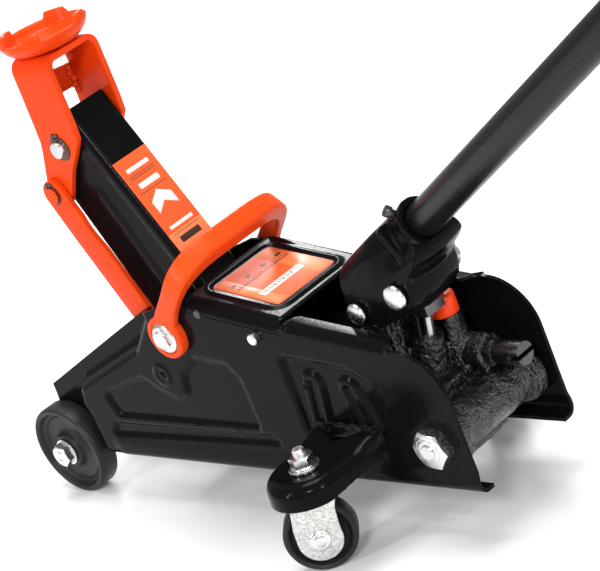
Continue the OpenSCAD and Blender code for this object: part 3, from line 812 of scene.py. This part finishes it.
socket_sheet()
for node, body, spot, r_head, base in (("socket_pivot_bolt", "chassis", SOCKET_PIVOT, 6.9, 24.1),
                                       ("striker_bolt", "socket", STRIKER_AT, 8.2, 23.9)):
    head = lathe("head", [(0, -24 - base), (4.4, -24 - base), (4.4, 0), (r_head - 0.4, 0), (r_head, 0.6),
                          (r_head, 2.1), (r_head - 0.6, 3.1), (r_head - 2.0, 3.6), (0, 3.7)],
                 (spot[0], 0, spot[1]), segments=56, lift=base)
    nut = hexagon("nut", r_head * 1.75, 6.0, (spot[0], base, spot[1]), (0, 1, 0), dish=0.5)
    finish_piece(join([head, nut], node + "_turned"), body, "zinc", replaces=node)


# ---------- Saddle, yoke, arm and links ----------

def saddle():
    rows = []
    base = YOKE_TOP + 0.3
    for a in round_turn(160):
        # Four raised claws round the rim
        fold = (math.degrees(a) - 30 + 45) % 90 - 45
        claw = 1 - float(smoothstep((abs(fold) - 14) / 5))
        rim = SADDLE_TOP - 0.6 + 4.4 * claw
        lean = 1.0 * claw
        ring = [(0.0, base), (12.0, base), (17.5, base + 0.3), (22.0, base + 1.4), (25.6, base + 3.4),
                (28.4, base + 6.2), (30.2, base + 9.2), (30.9, base + 11.6), (30.6 - lean, rim - 1.2),
                (29.9 - lean, rim - 0.3), (28.8 - lean, rim), (27.4 - lean, rim - 0.2),
                (26.6 - lean, rim - 1.2),
                (25.6, SADDLE_TOP - 3.5), (24.6, SADDLE_TOP - 5.6), (22.5, SADDLE_TOP - 7.0),
                (12.0, SADDLE_TOP - 7.0),
                (0.0, SADDLE_TOP - 7.0)]
        rows.append([(SADDLE_X + r * math.cos(a), r * math.sin(a), h) for r, h in ring])
    cup = grid("saddle_cup", rows, wrap_rows=True)
    stem = lathe("stem", [(0, 0), (7.9, 0), (7.9, 14.5), (0, 14.5)], (SADDLE_X, 0, YOKE_TOP - 14), UP)
    finish_piece(join([cup, stem], "saddle_casting"), "saddle", "orange_paint", replaces="saddle", angle=60)


def yoke():
    zs = [218.5, 219.5, 222, 226, 231, 236, 243, 250, 258, 266, 276, 288, 300, 310, 315]
    left = [-176, -179.5, -182.3, -183, -182.6, -181, -178, -175, -171.6, -169, -168.2, -167.6, -167, -166.6,
            -166.5]
    right = [-168.5, -166.0, -163.5, -160.5, -157.2, -153.8, -149, -142.5, -135, -128.6, -127.6, -127.3,
             -127.1, -127, -127]
    r = 8.5
    section = [(-YOKE_OUT, z, a, b) for z, a, b in zip(zs, left, right)]
    for t in np.linspace(0, 90, 9)[1:]:
        section.append((-YOKE_OUT + r - r * cosd(t), YOKE_TOP - r + r * sind(t), -166.3, -127.0))
    section += [(y, YOKE_TOP, -166.2, -127.0) for y in (-10, -5, 0)]
    section += [(-y, z, a, b) for y, z, a, b in section[::-1][1:]]
    rows = [[(a + (b - a) * f, y, z) for f in np.linspace(0, 1, 15)] for y, z, a, b in section]
    sheet = bevel(thicken(grid("sheet", rows), 4.0), 0.7, 2, 60)
    # The web between the legs, bulged forwards, with a ragged weld in its corner
    web = thicken(grid("web", [
        [(-165.5 - 2.2 * math.cos(math.pi * y / 40) * smoothstep((321 - z) / 10), y, z)
         for y in np.linspace(-19.5, 19.5, 15)] for z in np.linspace(288, 320.5, 14)]), 3.0)
    weld = []
    for k in range(9):
        z = 318 - 4.2 * k
        y = 13.5 + 3.8 * smoothstep(k / 7)
        weld.append(lathe("bead", [(0, -2.2), (1.5, -1.6), (2.1, 0), (1.5, 1.6), (0, 2.2)],
                          (-162.6 + 0.6 * math.sin(k * 2.2), y + 0.7 * math.cos(k * 3.1), z), (0.2, 0.3, 1),
                          14))
    ring = lathe("boss", [(8.2, -4.2), (11.5, -4.2), (11.5, 0.1), (8.2, 0.1)], (SADDLE_X, 0, 0), UP, 40, True,
                 YOKE_TOP)
    whole = join([sheet, web, ring] + weld, "yoke_pressing")
    finish_piece(whole, "yoke", "orange_paint", replaces="saddle_yoke", angle=50)


ARM_U = Vector((-cosd(ARM_ANGLE), 0, sind(ARM_ANGLE)))
ARM_N = Vector((sind(ARM_ANGLE), 0, cosd(ARM_ANGLE)))


def on_arm(u, y, n):
    """A point from its place along the arm, across it, and above the line of its pivots."""
    return Vector((ARM_PIVOT[0], y, ARM_PIVOT[1])) + ARM_U * u + ARM_N * n


def arm_top(u):
    return 34 - 0.0575 * u


def lift_arm():
    us = np.concatenate([np.linspace(-10, 150, 81), np.linspace(151, 197, 47)])
    bottom = np.interp(us, [-10, 8, 14, 30, 152, 157, 163, 168, 188, 197],
                       [-40, -38, -35.9, -35.9, -33, -30.5, -20, -14.5, -12, -6])
    top = np.where(us < 0, 34 + us * 0.7, arm_top(us))
    rows = []
    for u, lo, hi in zip(us, bottom, top):
        side = []
        r = 5.0
        for f in np.linspace(0, 1, 34):
            n = lo + (hi - r - lo) * f
            # The wall is pressed in below a line near the top, between the two pivots
            between = smoothstep((u - 22) / 8) * smoothstep((172 - u) / 8)
            inset = 1.3 * smoothstep((hi - 8.5 - n) / 2.4) * between
            bulge = smoothstep(1 - abs(n + 6 - 0.02 * u) / 5.5) * smoothstep((u - 40) / 10)
            inset -= 0.9 * bulge * smoothstep((150 - u) / 10)
            side.append((-ARM_OUT + inset, n))
        for t in np.linspace(0, 90, 8)[1:]:
            side.append((-ARM_OUT + r - r * cosd(t), hi - r + r * sind(t)))
        side += [(-8.5, hi), (-4.2, hi)]
        line = side + [(0.0, hi)] + [(-y, n) for y, n in side[::-1]]
        rows.append([on_arm(u, y, n) for y, n in line])
    channel = thicken(grid("channel", rows), 2.8)
    tail = rounded([(14, 20), (-10, 26), (-14, 4), (-30, -22), (-29, -40), (-10, -44), (14, -28)],
                   [2, 4, 8, 9, 6, 6, 2])
    cheek = slab_left("cheek", [[on_arm(u, 0, n).xz for u, n in tail]], 15.0, ARM_OUT - 0.05)
    whole = join([channel, cheek, mirror_y(cheek, "cheek_twin")], "lift_arm_channel")
    finish_piece(whole, "arm", "black_paint", replaces="lift_arm", angle=50)


def arm_label():
    origin = on_arm(113, 0, arm_top(113) + 0.2)
    run = (on_arm(151, 0, arm_top(151)) - on_arm(75, 0, arm_top(75))).normalized()
    out = Vector((run.z, 0, -run.x))
    place = facing(origin, run, out.cross(run), out)
    chevron = [(-6, -9), (3, -9), (9, 0), (3, 9), (-6, 9), (0, 0)]
    pale = [box_loop(-38, -15.3, -21, 15.3)]
    white = [chevron, box_loop(14, -9, 18, 9, 0.8), box_loop(27, -10, 30, 10, 0.8),
             box_loop(-19, -10.5, -16.5, 10.5, 0.6)]
    dark = [box_loop(22.2, -11, 22.6, 11), box_loop(23.8, -11, 24.2, 11), box_loop(-30, -9, -25.5, 9, 0.6),
            box_loop(-23, -12, -22.6, 12), box_loop(11, -12, 11.4, 12)]
    drawing("arm_label_print", place, box_loop(-38, -15.3, 38, 15.3, 0.6),
            [("label_pale", 0.16, pale), ("label_white", 0.2, white), ("label_dark", 0.2, dark)], "arm",
            "label",
            "arm_label")


def link_loop():
    """A link's side view, wider below its shoulder."""
    low = on_arm(0, 0, 0) + Vector((-23.5, 0, -32.1))
    loop = arc(0, 0, 11, 90, 270, 14) + [(40, -11), (ARM_LENGTH - 30, -11)]
    loop += arc(ARM_LENGTH, 0, 10.4, -80, 80, 14)
    loop += [(ARM_LENGTH - u, n) for u, n in ((14, 10.6), (22, 10.8), (30, 9.4), (38, 9.4),
                                              (50, 11))] + [(40, 11)]
    loop = rounded(loop, [0] * 15 + [0, 0] + [0] * 15 + [4, 7, 7, 7, 8, 0], 5)
    return [(low + ARM_U * u + ARM_N * n).xz for u, n in loop], low


def links():
    loop, low = link_loop()
    high = low + ARM_U * ARM_LENGTH
    bar = slab_left("link_left_bar", [loop, circle(low.x, low.z, 5.05), circle(high.x, high.z, 4.55)],
                    YOKE_OUT + 0.6, LINK_OUT, 0.55, 3)
    finish_pair(bar, "links", "orange_paint", "link", angle=50, twin="link_right_strip")
    rivet = lathe("rivet", [(0, YOKE_OUT - LINK_OUT - 5), (4.5, YOKE_OUT - LINK_OUT - 5), (4.5, 0.9),
                            (5.2, 0.9),
                            (5.8, 1.5), (5.8, 2.3), (5.2, 2.9), (0, 3.1)], high, lift=LINK_OUT)
    finish_piece(both(rivet, "link_rivets_turned"), "links", "orange_paint", replaces="link_rivets")
    pin = on_arm(ARM_LENGTH, 0, 0)
    for node, body, middle, bore, r, base in (("link_clips", "links", high, 4.55, 7.0, LINK_OUT + 0.05),
                                              ("yoke_pin_clips", "arm", pin, 5.05, 8.6, YOKE_OUT + 0.35)):
        clip = lathe("clip", [(bore, 0), (r - 0.2, 0), (r, 0.2), (r, 0.7), (r - 0.2, 0.9), (bore, 0.9)],
                     middle,
                     closed=True, lift=base)
        ears = [lathe("ear", [(0, 0), (1.9, 0), (1.9, 0.9), (0, 0.9)], (middle.x + x, 0, middle.z + r + 0.4),
                      segments=20, lift=base) for x in (-2.6, 1.0)]
        finish_piece(both(join([clip] + ears, "ring"), node + "_rings"), body, "dark_steel", replaces=node)
    end = lathe("pin_end", [(0, -YOKE_OUT), (5.95, -YOKE_OUT), (5.95, 0.3), (5.0, 0.3), (5.0, 1.3),
                            (6.0, 1.3),
                            (6.0, 3.6), (5.4, 4.5), (0, 4.6)], pin, lift=YOKE_OUT)
    finish_piece(both(end, "yoke_pin_turned"), "arm", "zinc", replaces="yoke_pin")


saddle()
yoke()
lift_arm()
arm_label()
links()
# ---------- Castings and hidden works ----------

for node, voxel, rounds, lumps in (("cylinder_block", 1.1, 7, 0.55), ("pump_gland", 0.6, 3, 0.1)):
    piece = molten(cad_copy(node, node + "_cast"), voxel, rounds, lumps)
    finish_piece(piece, "chassis", "black_casting", replaces=node, angle=170)

CAST_BITS = (("ram_cylinder", "chassis", "black_casting", 0.8),
             ("valve_gland_nut", "chassis", "black_casting", 0.5),
             ("ram_head", "ram", "black_casting", 0.8), ("floor_brace", "chassis", "black_paint", 0.5),
             ("arm_pivot_shaft", "chassis", "zinc", 0.5), ("link_pivot_pins", "chassis", "zinc", 0.4),
             ("ram_rod", "ram", "ground_steel", 0.5), ("ram_gland", "chassis", "ground_steel", 0.3),
             ("horn_pin", "arm", "ground_steel", 0.5), ("striker_block", "socket", "grey_steel", 0.7),
             ("saddle_nut", "saddle", "zinc", 0.6),
             ("handle_snap_pin", "handle", "zinc", 0.9), ("clamp_bolt", "socket", "dark_steel", 0.4),
             ("pivot_shaft_clips", "chassis", "dark_steel", 0.15))
for node, body, slot, width in CAST_BITS:
    finish_piece(eased(node, width), body, slot, replaces=node)


# ---------- Pump, cap and valve ----------

piston = lathe("pump_piston_turned", [(0, -34), (5.4, -34), (5.4, 20.4), (4.9, 21.0), (0, 21.1)], PUMP_FOOT,
               (sind(PUMP_LEAN), 0, cosd(PUMP_LEAN)), 64)
finish_piece(piston, "pump_piston", "ground_steel", replaces="pump_piston")

cap_rows = []
for r, h in ((0, -7.6), (3.9, -7.6), (3.9, -0.1), (8.6, 0), (9.0, 0.6), (9.0, 11.2), (8.6, 12.4), (7.8, 13.0),
             (0, 13.0)):
    # Fine grip ribs round the side
    ribs = 0.18 if 0.6 < h < 11.3 and r > 8.5 else 0.0
    radii = [r - ribs * (math.cos(30 * a) > 0.2) for a in round_turn(120)]
    cap_rows.append([(CAP_AT[0] + q * math.cos(a), CAP_AT[1] + q * math.sin(a), CAP_AT[2] + h)
                     for q, a in zip(radii, round_turn(120))])
finish_piece(grid("filler_cap_moulding", cap_rows, wrap_cols=True), "chassis", "cap_plastic",
             replaces="filler_cap")
finish_piece(eased("release_valve", 0.7, 3), "release_valve", "dark_steel", replaces="release_valve")


# ---------- Bolts ----------

def shank(spot, out, stages):
    """A turned bolt or washer on the left: (radius, distance past out) pairs from its inner end."""
    profile = [(0, stages[0][1])] + stages + [(0, stages[-1][1])]
    return lathe("shank", profile, (spot[0], 0, spot[1]), segments=56, lift=out)


def side_bolts(node, spot, out, stages, head, *extras):
    """A bolt on the left and its twin. head is its hexagon: across, height, place, turn and dish."""
    across, height, place, turn, dish = head
    hexa = hexagon("head", across, height, (spot[0], -(out + place), spot[1]), turn=turn, dish=dish)
    whole = join([shank(spot, out, stages), hexa, *extras], node + "_one")
    finish_piece(both(whole, node + "_turned"), "chassis", "zinc", replaces=node)


stud = shank(REAR_BOLT, PLATE_OUT, [(5.0, 9), (5.0, 11.2), (4.4, 11.9)])
ring = lathe("ring", [(6.1, 0), (8.4, 0), (8.4, 0.5), (7.6, 0.8), (6.1, 0.8)],
             (REAR_BOLT[0], -(PLATE_OUT + 10.3), REAR_BOLT[1]), closed=True)
side_bolts("rear_bolts", REAR_BOLT, PLATE_OUT, [(5.95, 23 - PLATE_OUT), (5.95, 0.2), (13.2, 0.2), (13.8, 0.8),
                                                (13.6, 1.5), (12.2, 2.1)], (23.5, 8.4, 2.0, 0.2, -0.2), stud,
                                                ring)

axle_out = NOSE_OUT + WHEEL_W
mark = lathe("mark", [(2.6, 0), (3.4, 0.35), (4.2, 0.0)], (FRONT_AXLE[0], -(axle_out + 8.0), FRONT_AXLE[1]),
             segments=40)
side_bolts("front_axle_bolts", FRONT_AXLE, axle_out, [(4.95, -2.9 - WHEEL_W), (4.95, 0.8), (9.5, 0.8),
                                                      (10.0, 1.2),
                                                      (10.0, 1.9)], (15.5, 6.4, 1.9, 0.35, 0.3), mark)

carry_out = PLATE_OUT + 7.0
nut = hexagon("nut", 13, 5.5, (CARRY_PIVOT[0], -(PLATE_IN - 0.2), CARRY_PIVOT[1]), (0, 1, 0))
side_bolts("carry_handle_bolts", CARRY_PIVOT, carry_out, [(4, PLATE_IN - 6 - carry_out), (4, 0.3),
                                                          (10.2, 0.3),
                                                          (10.7, 0.9), (10.7, 1.8), (10.0, 2.6), (8.2, 3.0)],
           (13, 2.9, 2.9, 0.5, 0.4), nut)

for name, spot, r, reach, slot, node in (("cover_screws_rear", (-1.5, 136.5), 4.0, 6.4, "zinc",
                                          "cover_screws"),
                                         ("cover_screws_front", (-49.5, 151.5), 3.2, 3.1, "dark_steel", ())):
    screw = shank(spot, PLATE_OUT, [(2.4, 0.1), (2.4, 2.0), (r, 2.0), (r, reach - 0.7), (r - 0.7, reach)])
    finish_piece(both(screw, name), "chassis", slot, replaces=node)


# ---------- Front wheels ----------

profile = [(5.05, 0.4), (12.4, 0.4), (13.0, 1.0), (13.0, 3.2), (32.4, 3.2), (33.8, 3.8), (34.4, 5.2),
           (34.4, 17.0),
           (34.0, 18.6), (33.0, 19.5), (31.4, 19.6), (30.3, 19.0), (29.6, 17.6), (28.9, 15.6), (27.6, 14.5),
           (26.6, 14.3), (26.0, 14.9), (25.2, 15.0), (24.6, 14.3), (22.0, 14.0), (17.0, 14.0), (14.4, 14.5),
           (13.2, 15.8), (12.6, 18.5), (11.9, 19.1), (5.05, 19.1)]
wheel = lathe("front_wheel_left_moulding", profile, (FRONT_AXLE[0], 0, FRONT_AXLE[1]), LEFT, 120, True,
              NOSE_OUT)
finish_pair(wheel, "front_wheel_", "wheel_plastic", "front_wheel")


# ---------- Casters ----------

def bracket():
    """The pressed caster bracket: a round lobe with a turned-down rim, welded to the side plate."""
    cx, cy = CASTER_AT[0], -CASTER_AT[1]
    # Edge of the top face in plan, from the front of the side plate round to the rear
    edge = [(13.5, -44.5), (13.6, -50), (14.0, -62), (14.6, -74)]
    edge += arc(cx, cy, 28, 168, 340, 40)
    edge += [(72.0, -78), (74.5, -66), (77.5, -54), (80.0, -44.5)]
    loop = []
    for a, b in zip(edge[:-1], edge[1:]):
        steps = max(1, int(math.hypot(b[0] - a[0], b[1] - a[1]) / 3))
        loop += [(a[0] + (b[0] - a[0]) * i / steps, a[1] + (b[1] - a[1]) * i / steps) for i in range(steps)]
    loop.append(edge[-1])
    line = [Vector(p) for p in loop]

    def ridge(x, y):
        """The top face climbs to its seam on the side plate."""
        return 4.6 * float(smoothstep((y + 66) / 20)) * float(smoothstep((x - 12) / 12))

    for _ in range(6):
        middle = [(a + b * 2 + c) / 4 for a, b, c in zip(line, line[1:], line[2:])]
        line = [line[0], *middle, line[-1]]
    rows = []
    count = len(line)
    for i, p in enumerate(line):
        ahead, behind = line[min(i + 1, count - 1)], line[max(i - 1, 0)]
        along = (ahead - behind).normalized()
        out = Vector((-along.y, along.x))
        if out.dot(p - Vector((46, -70))) < 0:
            out = -out
        f = i / (count - 1)
        # The rim runs shallower towards the rear of the side plate
        depth = 13.5 - 4.5 * float(smoothstep((f - 0.72) / 0.25))
        row = []
        inner = p - out * 8.5
        for t in np.linspace(0, 1, 10)[:-1]:
            q = Vector((46 + (inner.x - 46) * t, -58 + (inner.y + 58) * t))
            d = math.hypot(q.x - cx, q.y - cy)
            z = BRACKET_TOP - 1.2 * float(smoothstep((24 - d) / 14)) * float(smoothstep(t * 3))
            row.append((q.x, q.y, z + ridge(q.x, q.y)))
        for t in np.linspace(0, 90, 8):
            q = inner + out * 8.5 * sind(t)
            row.append((q.x, q.y, BRACKET_TOP - 8.5 + (8.5 + ridge(q.x, q.y)) * cosd(t)))
        for t in np.linspace(0, 1, 5)[1:]:
            q = p + out * 0.6 * t
            row.append((q.x, q.y, BRACKET_TOP - 8.5 - (depth - 6.0) * t))
        rows.append(row)
    lid = thicken(grid("lid", rows), 2.6)
    flange = slab_left("flange", [rounded([(20, 66), (80, 66), (78, 75.5), (60, 74), (40, 76.5), (22, 75)],
                                          2)],
                       PLATE_OUT, PLATE_OUT + 2.2)
    beads = [lathe("bead", [(0, -1.8), (1.1, -1.1), (1.5, 0), (1.1, 1.1), (0, 1.8)],
                   (21.5 + 2.8 * k, -45.6, 75.8 + 0.7 * math.sin(k * 1.7)), (1, 0, 0.2),
                   10) for k in range(21)]
    # The rim's rear end is cut free and curled
    curl = lathe("curl", [(0.7, -4), (2.0, -4), (2.0, 4), (0.7, 4)], (80.2, -46.4, 57.5), (0.2, 1, 0), 24,
                 closed=True)
    return molten(join([lid, flange, curl] + beads, "caster_bracket_left_pressing"), 0.85, 3)


finish_pair(bracket(), "chassis", "black_paint", "caster_bracket", angle=60)

CASTER_FRAME = (Matrix.Translation((CASTER_AT[0], -CASTER_AT[1], 0))
                @ Matrix.Rotation(math.radians(CASTER_YAW), 4, "Z"))
STEM_FOOT = (CASTER_AT[0], -CASTER_AT[1], 0)
CASTER_AXLE = CASTER_FRAME @ Vector((-CASTER_TRAIL, 0, CASTER_R))
AXLE_DIR = CASTER_FRAME.to_3x3() @ Vector(LEFT)


def caster_fork():
    outline = arc(-CASTER_TRAIL, CASTER_R, 14.5, 172, 368, 22)
    outline += [(8.4, 34), (9.4, 42), (12.4, 49), (13.8, 53.5), (13.8, 57), (-16.6, 57), (-17.2, 51),
                (-18.6, 43),
                (-20.4, 35)]
    outline = rounded(outline, [0] * 23 + [8, 8, 6, 2, 2, 2, 2, 8, 8], 5)
    axle = circle(-CASTER_TRAIL, CASTER_R, 4.1)
    cheeks = [flat_slab("cheek", [outline, axle], 2.0, 0.45, 2, CASTER_FRAME @ standing(y)) for y in (-10.3,
                                                                                                      10.3)]
    top = flat_slab("top", [rounded([(-16.6, -11.3), (13.6, -11.3), (13.6, 11.3), (-16.6, 11.3)], 3)], 2.0,
                    0.7, 3,
                    CASTER_FRAME @ Matrix.Translation((0, 0, 56)))
    race = lathe("race", [(4.2, 56.8), (13.4, 56.8), (14.2, 57.6), (14.2, 59.4), (12.8, 60.4), (12.0, 61.2),
                          (12.8, 62.0),
                          (13.6, 63.0), (13.6, 64.6), (12.8, 65.6), (4.2, 65.6)], STEM_FOOT, UP, 64,
                          closed=True)
    stem = lathe("stem", [(0, 60), (4.15, 60), (4.15, 80.9), (3.5, 81.9), (0, 82)], STEM_FOOT, UP, 40)
    return join([*cheeks, top, race, stem], "caster_fork_left_pressing")


fork = caster_fork()
profile = [(0, -13.6), (6.4, -13.6), (7.0, -13.1), (7.0, -11.4), (3.95, -11.4), (3.95, 11.4), (7.0, 11.4),
           (7.0, 12.4),
           (6.2, 13.2), (4.6, 13.5), (3.9, 13.2), (3.2, 13.6), (0, 13.7)]
axle = lathe("caster_axle_left_rivet", profile, CASTER_AXLE, AXLE_DIR, 56)
half = [(4.1, 8.7), (7.6, 8.7), (8.0, 8.2), (8.0, 4.0), (9.0, 3.2), (17.2, 3.2), (18.6, 4.2), (19.4, 6.6),
        (20.2, 7.6),
        (21.6, 8.0), (22.9, 7.2), (23.5, 5.6), (23.5, 0)]
wheel = lathe("caster_wheel_left_moulding", half + [(r, -h) for r, h in half[::-1][1:]], CASTER_AXLE,
              AXLE_DIR, 120,
              closed=True)
finish_pair(fork, "caster_", "zinc", "caster_fork", "galvanised")
finish_pair(axle, "caster_", "zinc", "caster_axle")
finish_pair(wheel, "caster_wheel_", "caster_plastic", "caster_wheel")

washer = lathe("washer", [(4.3, -1.2), (9.6, -1.2), (10.4, -0.6), (10.4, 0.5), (9.8, 1.1), (4.3, 1.1)],
               STEM_FOOT, UP,
               closed=True, lift=BRACKET_TOP)
coil = lathe("coil", [(4.3, 1.1), (8.0, 1.1), (8.4, 1.6), (8.0, 2.3), (4.3, 2.3)], STEM_FOOT, UP, closed=True,
             lift=BRACKET_TOP)
nut = hexagon("nut", 14.5, 6.2, (*STEM_FOOT[:2], BRACKET_TOP + 2.2), UP, turn=0.35)
stud = lathe("stud", [(4.25, 8.3), (4.5, 8.4)], STEM_FOOT, UP, 32, lift=BRACKET_TOP)
finish_piece(both(join([washer, coil, nut, stud], "caster_nut"), "caster_nuts_turned"), "chassis", "zinc",
             replaces="caster_nuts")


# ---------- Springs ----------

def helix(r, wire, turns, pitch, origin, axis):
    m = axis_matrix(origin, axis)
    rows = []
    for i in range(int(28 * turns) + 1):
        a = 2 * math.pi * i / 28
        c = Vector((r * math.cos(a), r * math.sin(a), pitch * i / 28))
        tangent = Vector((-r * math.sin(a), r * math.cos(a), pitch / (2 * math.pi))).normalized()
        side = Vector((math.cos(a), math.sin(a), 0))
        other = tangent.cross(side)
        rows.append([m @ (c + (side * math.cos(b) + other * math.sin(b)) * wire) for b in round_turn(10)])
    return grid("coil", rows, wrap_cols=True, caps=True)


spring = helix(9.6, 1.2, 4.5, 2.4, (ARM_PIVOT[0], -23.4, ARM_PIVOT[1]), LEFT)
finish_piece(both(spring, "arm_return_springs_wound"), "chassis", "dark_steel", replaces="arm_return_springs",
             angle=60)
spring = helix(3.4, 0.9, 5, 2.4, (101, -17, 89.5), UP)
post = lathe("post", [(0, 0), (2.4, 0), (2.4, 15.4), (1.8, 16), (0, 16)], (101, -17, 88.1), UP, 24)
finish_piece(join([spring, post], "socket_return_spring_wound"), "chassis", "zinc",
             replaces="socket_return_spring",
             angle=60)


# ---------- Handle tubes and grip ----------

for node in ("handle_lower_tube", "handle_upper_tube"):
    finish_piece(eased(node), "handle", "black_paint", "tube_paint", replaces=node)

GRIP_R = HANDLE_R + 3.2
profile = [(HANDLE_R + 0.1, 480.4), (GRIP_R - 1.2, 480.4), (GRIP_R - 0.3, 481.3), (GRIP_R, 482.5)]
for k in range(20):
    s = 487 + 5.2 * k
    profile += [(GRIP_R, s), (GRIP_R - 1.1, s + 0.7), (GRIP_R - 1.1, s + 2.0), (GRIP_R, s + 2.7)]
profile += [(GRIP_R, 596), (GRIP_R - 0.5, 598.2), (GRIP_R - 2.2, 599.6), (GRIP_R - 5, 599.9), (0, 599.9)]
profile += [(0, 597.2), (HANDLE_R + 0.1, 597.2)]
grip = lathe("handle_grip_moulding", profile, RIM, HANDLE_DIR, 80, closed=True)
finish_piece(grip, "handle", "grip_rubber", replaces="handle_grip", angle=50)


# ---------- Floor, light and camera ----------

def add_floor():
    bpy.ops.mesh.primitive_plane_add(size=14, location=(0, 0, 0))
    floor = bpy.context.object
    floor.name = "floor"
    floor.data.materials.append(matt("floor_white", (0.86, 0.86, 0.86), 0.7))


def add_lights():
    """A plain bright room and five soft boxes: name, place, size and power."""
    world = bpy.data.worlds.new("studio")
    bpy.context.scene.world = world
    world.use_nodes = True
    world.node_tree.nodes["Background"].inputs["Color"].default_value = (1, 1, 1, 1)
    world.node_tree.nodes["Background"].inputs["Strength"].default_value = 0.42
    for name, place, size, power in (("top", (-0.3, 0.2, 2.2), (1.0, 1.0), 34),
                                     ("back", (-1.5, 1.4, 1.3), (0.2, 1.4), 24),
                                     ("left", (-0.9, -2.0, 1.1), (0.14, 1.3), 18),
                                     ("right", (2.2, -0.4, 1.2), (0.16, 1.2), 22),
                                     ("key", (1.2, -1.7, 1.5), (0.4, 0.4), 24)):
        light = bpy.data.lights.new(name, "AREA")
        light.shape = "RECTANGLE"
        light.size, light.size_y = size
        light.energy = power
        obj = new_object(name, light)
        obj.location = place
        obj.rotation_euler = (Vector(place) - P(0, 0, 150)).to_track_quat("Z", "Y").to_euler()


# Where the camera looks from, in degrees and millimetres
CAMERA = {"azimuth": 51.93, "elevation": 20.24, "roll": -22.39, "distance": 1469.5,
          "target": (1.19, -0.11, 147.28), "lens": 139.74}


def add_camera():
    azimuth, elevation, roll = (math.radians(CAMERA[k]) for k in ("azimuth", "elevation", "roll"))
    back = Vector((math.sin(azimuth) * math.cos(elevation), -math.cos(azimuth) * math.cos(elevation),
                   math.sin(elevation)))
    level = (-back).cross(Vector(UP)).normalized()
    upright = level.cross(-back)
    right = level * math.cos(roll) + upright * math.sin(roll)
    up = upright * math.cos(roll) - level * math.sin(roll)
    data = bpy.data.cameras.new("camera")
    data.lens = CAMERA["lens"]
    data.sensor_width = 36
    data.clip_start = 0.01
    camera = new_object("camera", data)
    place = P(*CAMERA["target"]) + back * CAMERA["distance"] / 1000
    camera.matrix_world = facing(place, right, up, back)
    bpy.context.scene.camera = camera


bpy.context.scene.view_settings.view_transform = "Standard"
add_floor()
add_lights()
add_camera()
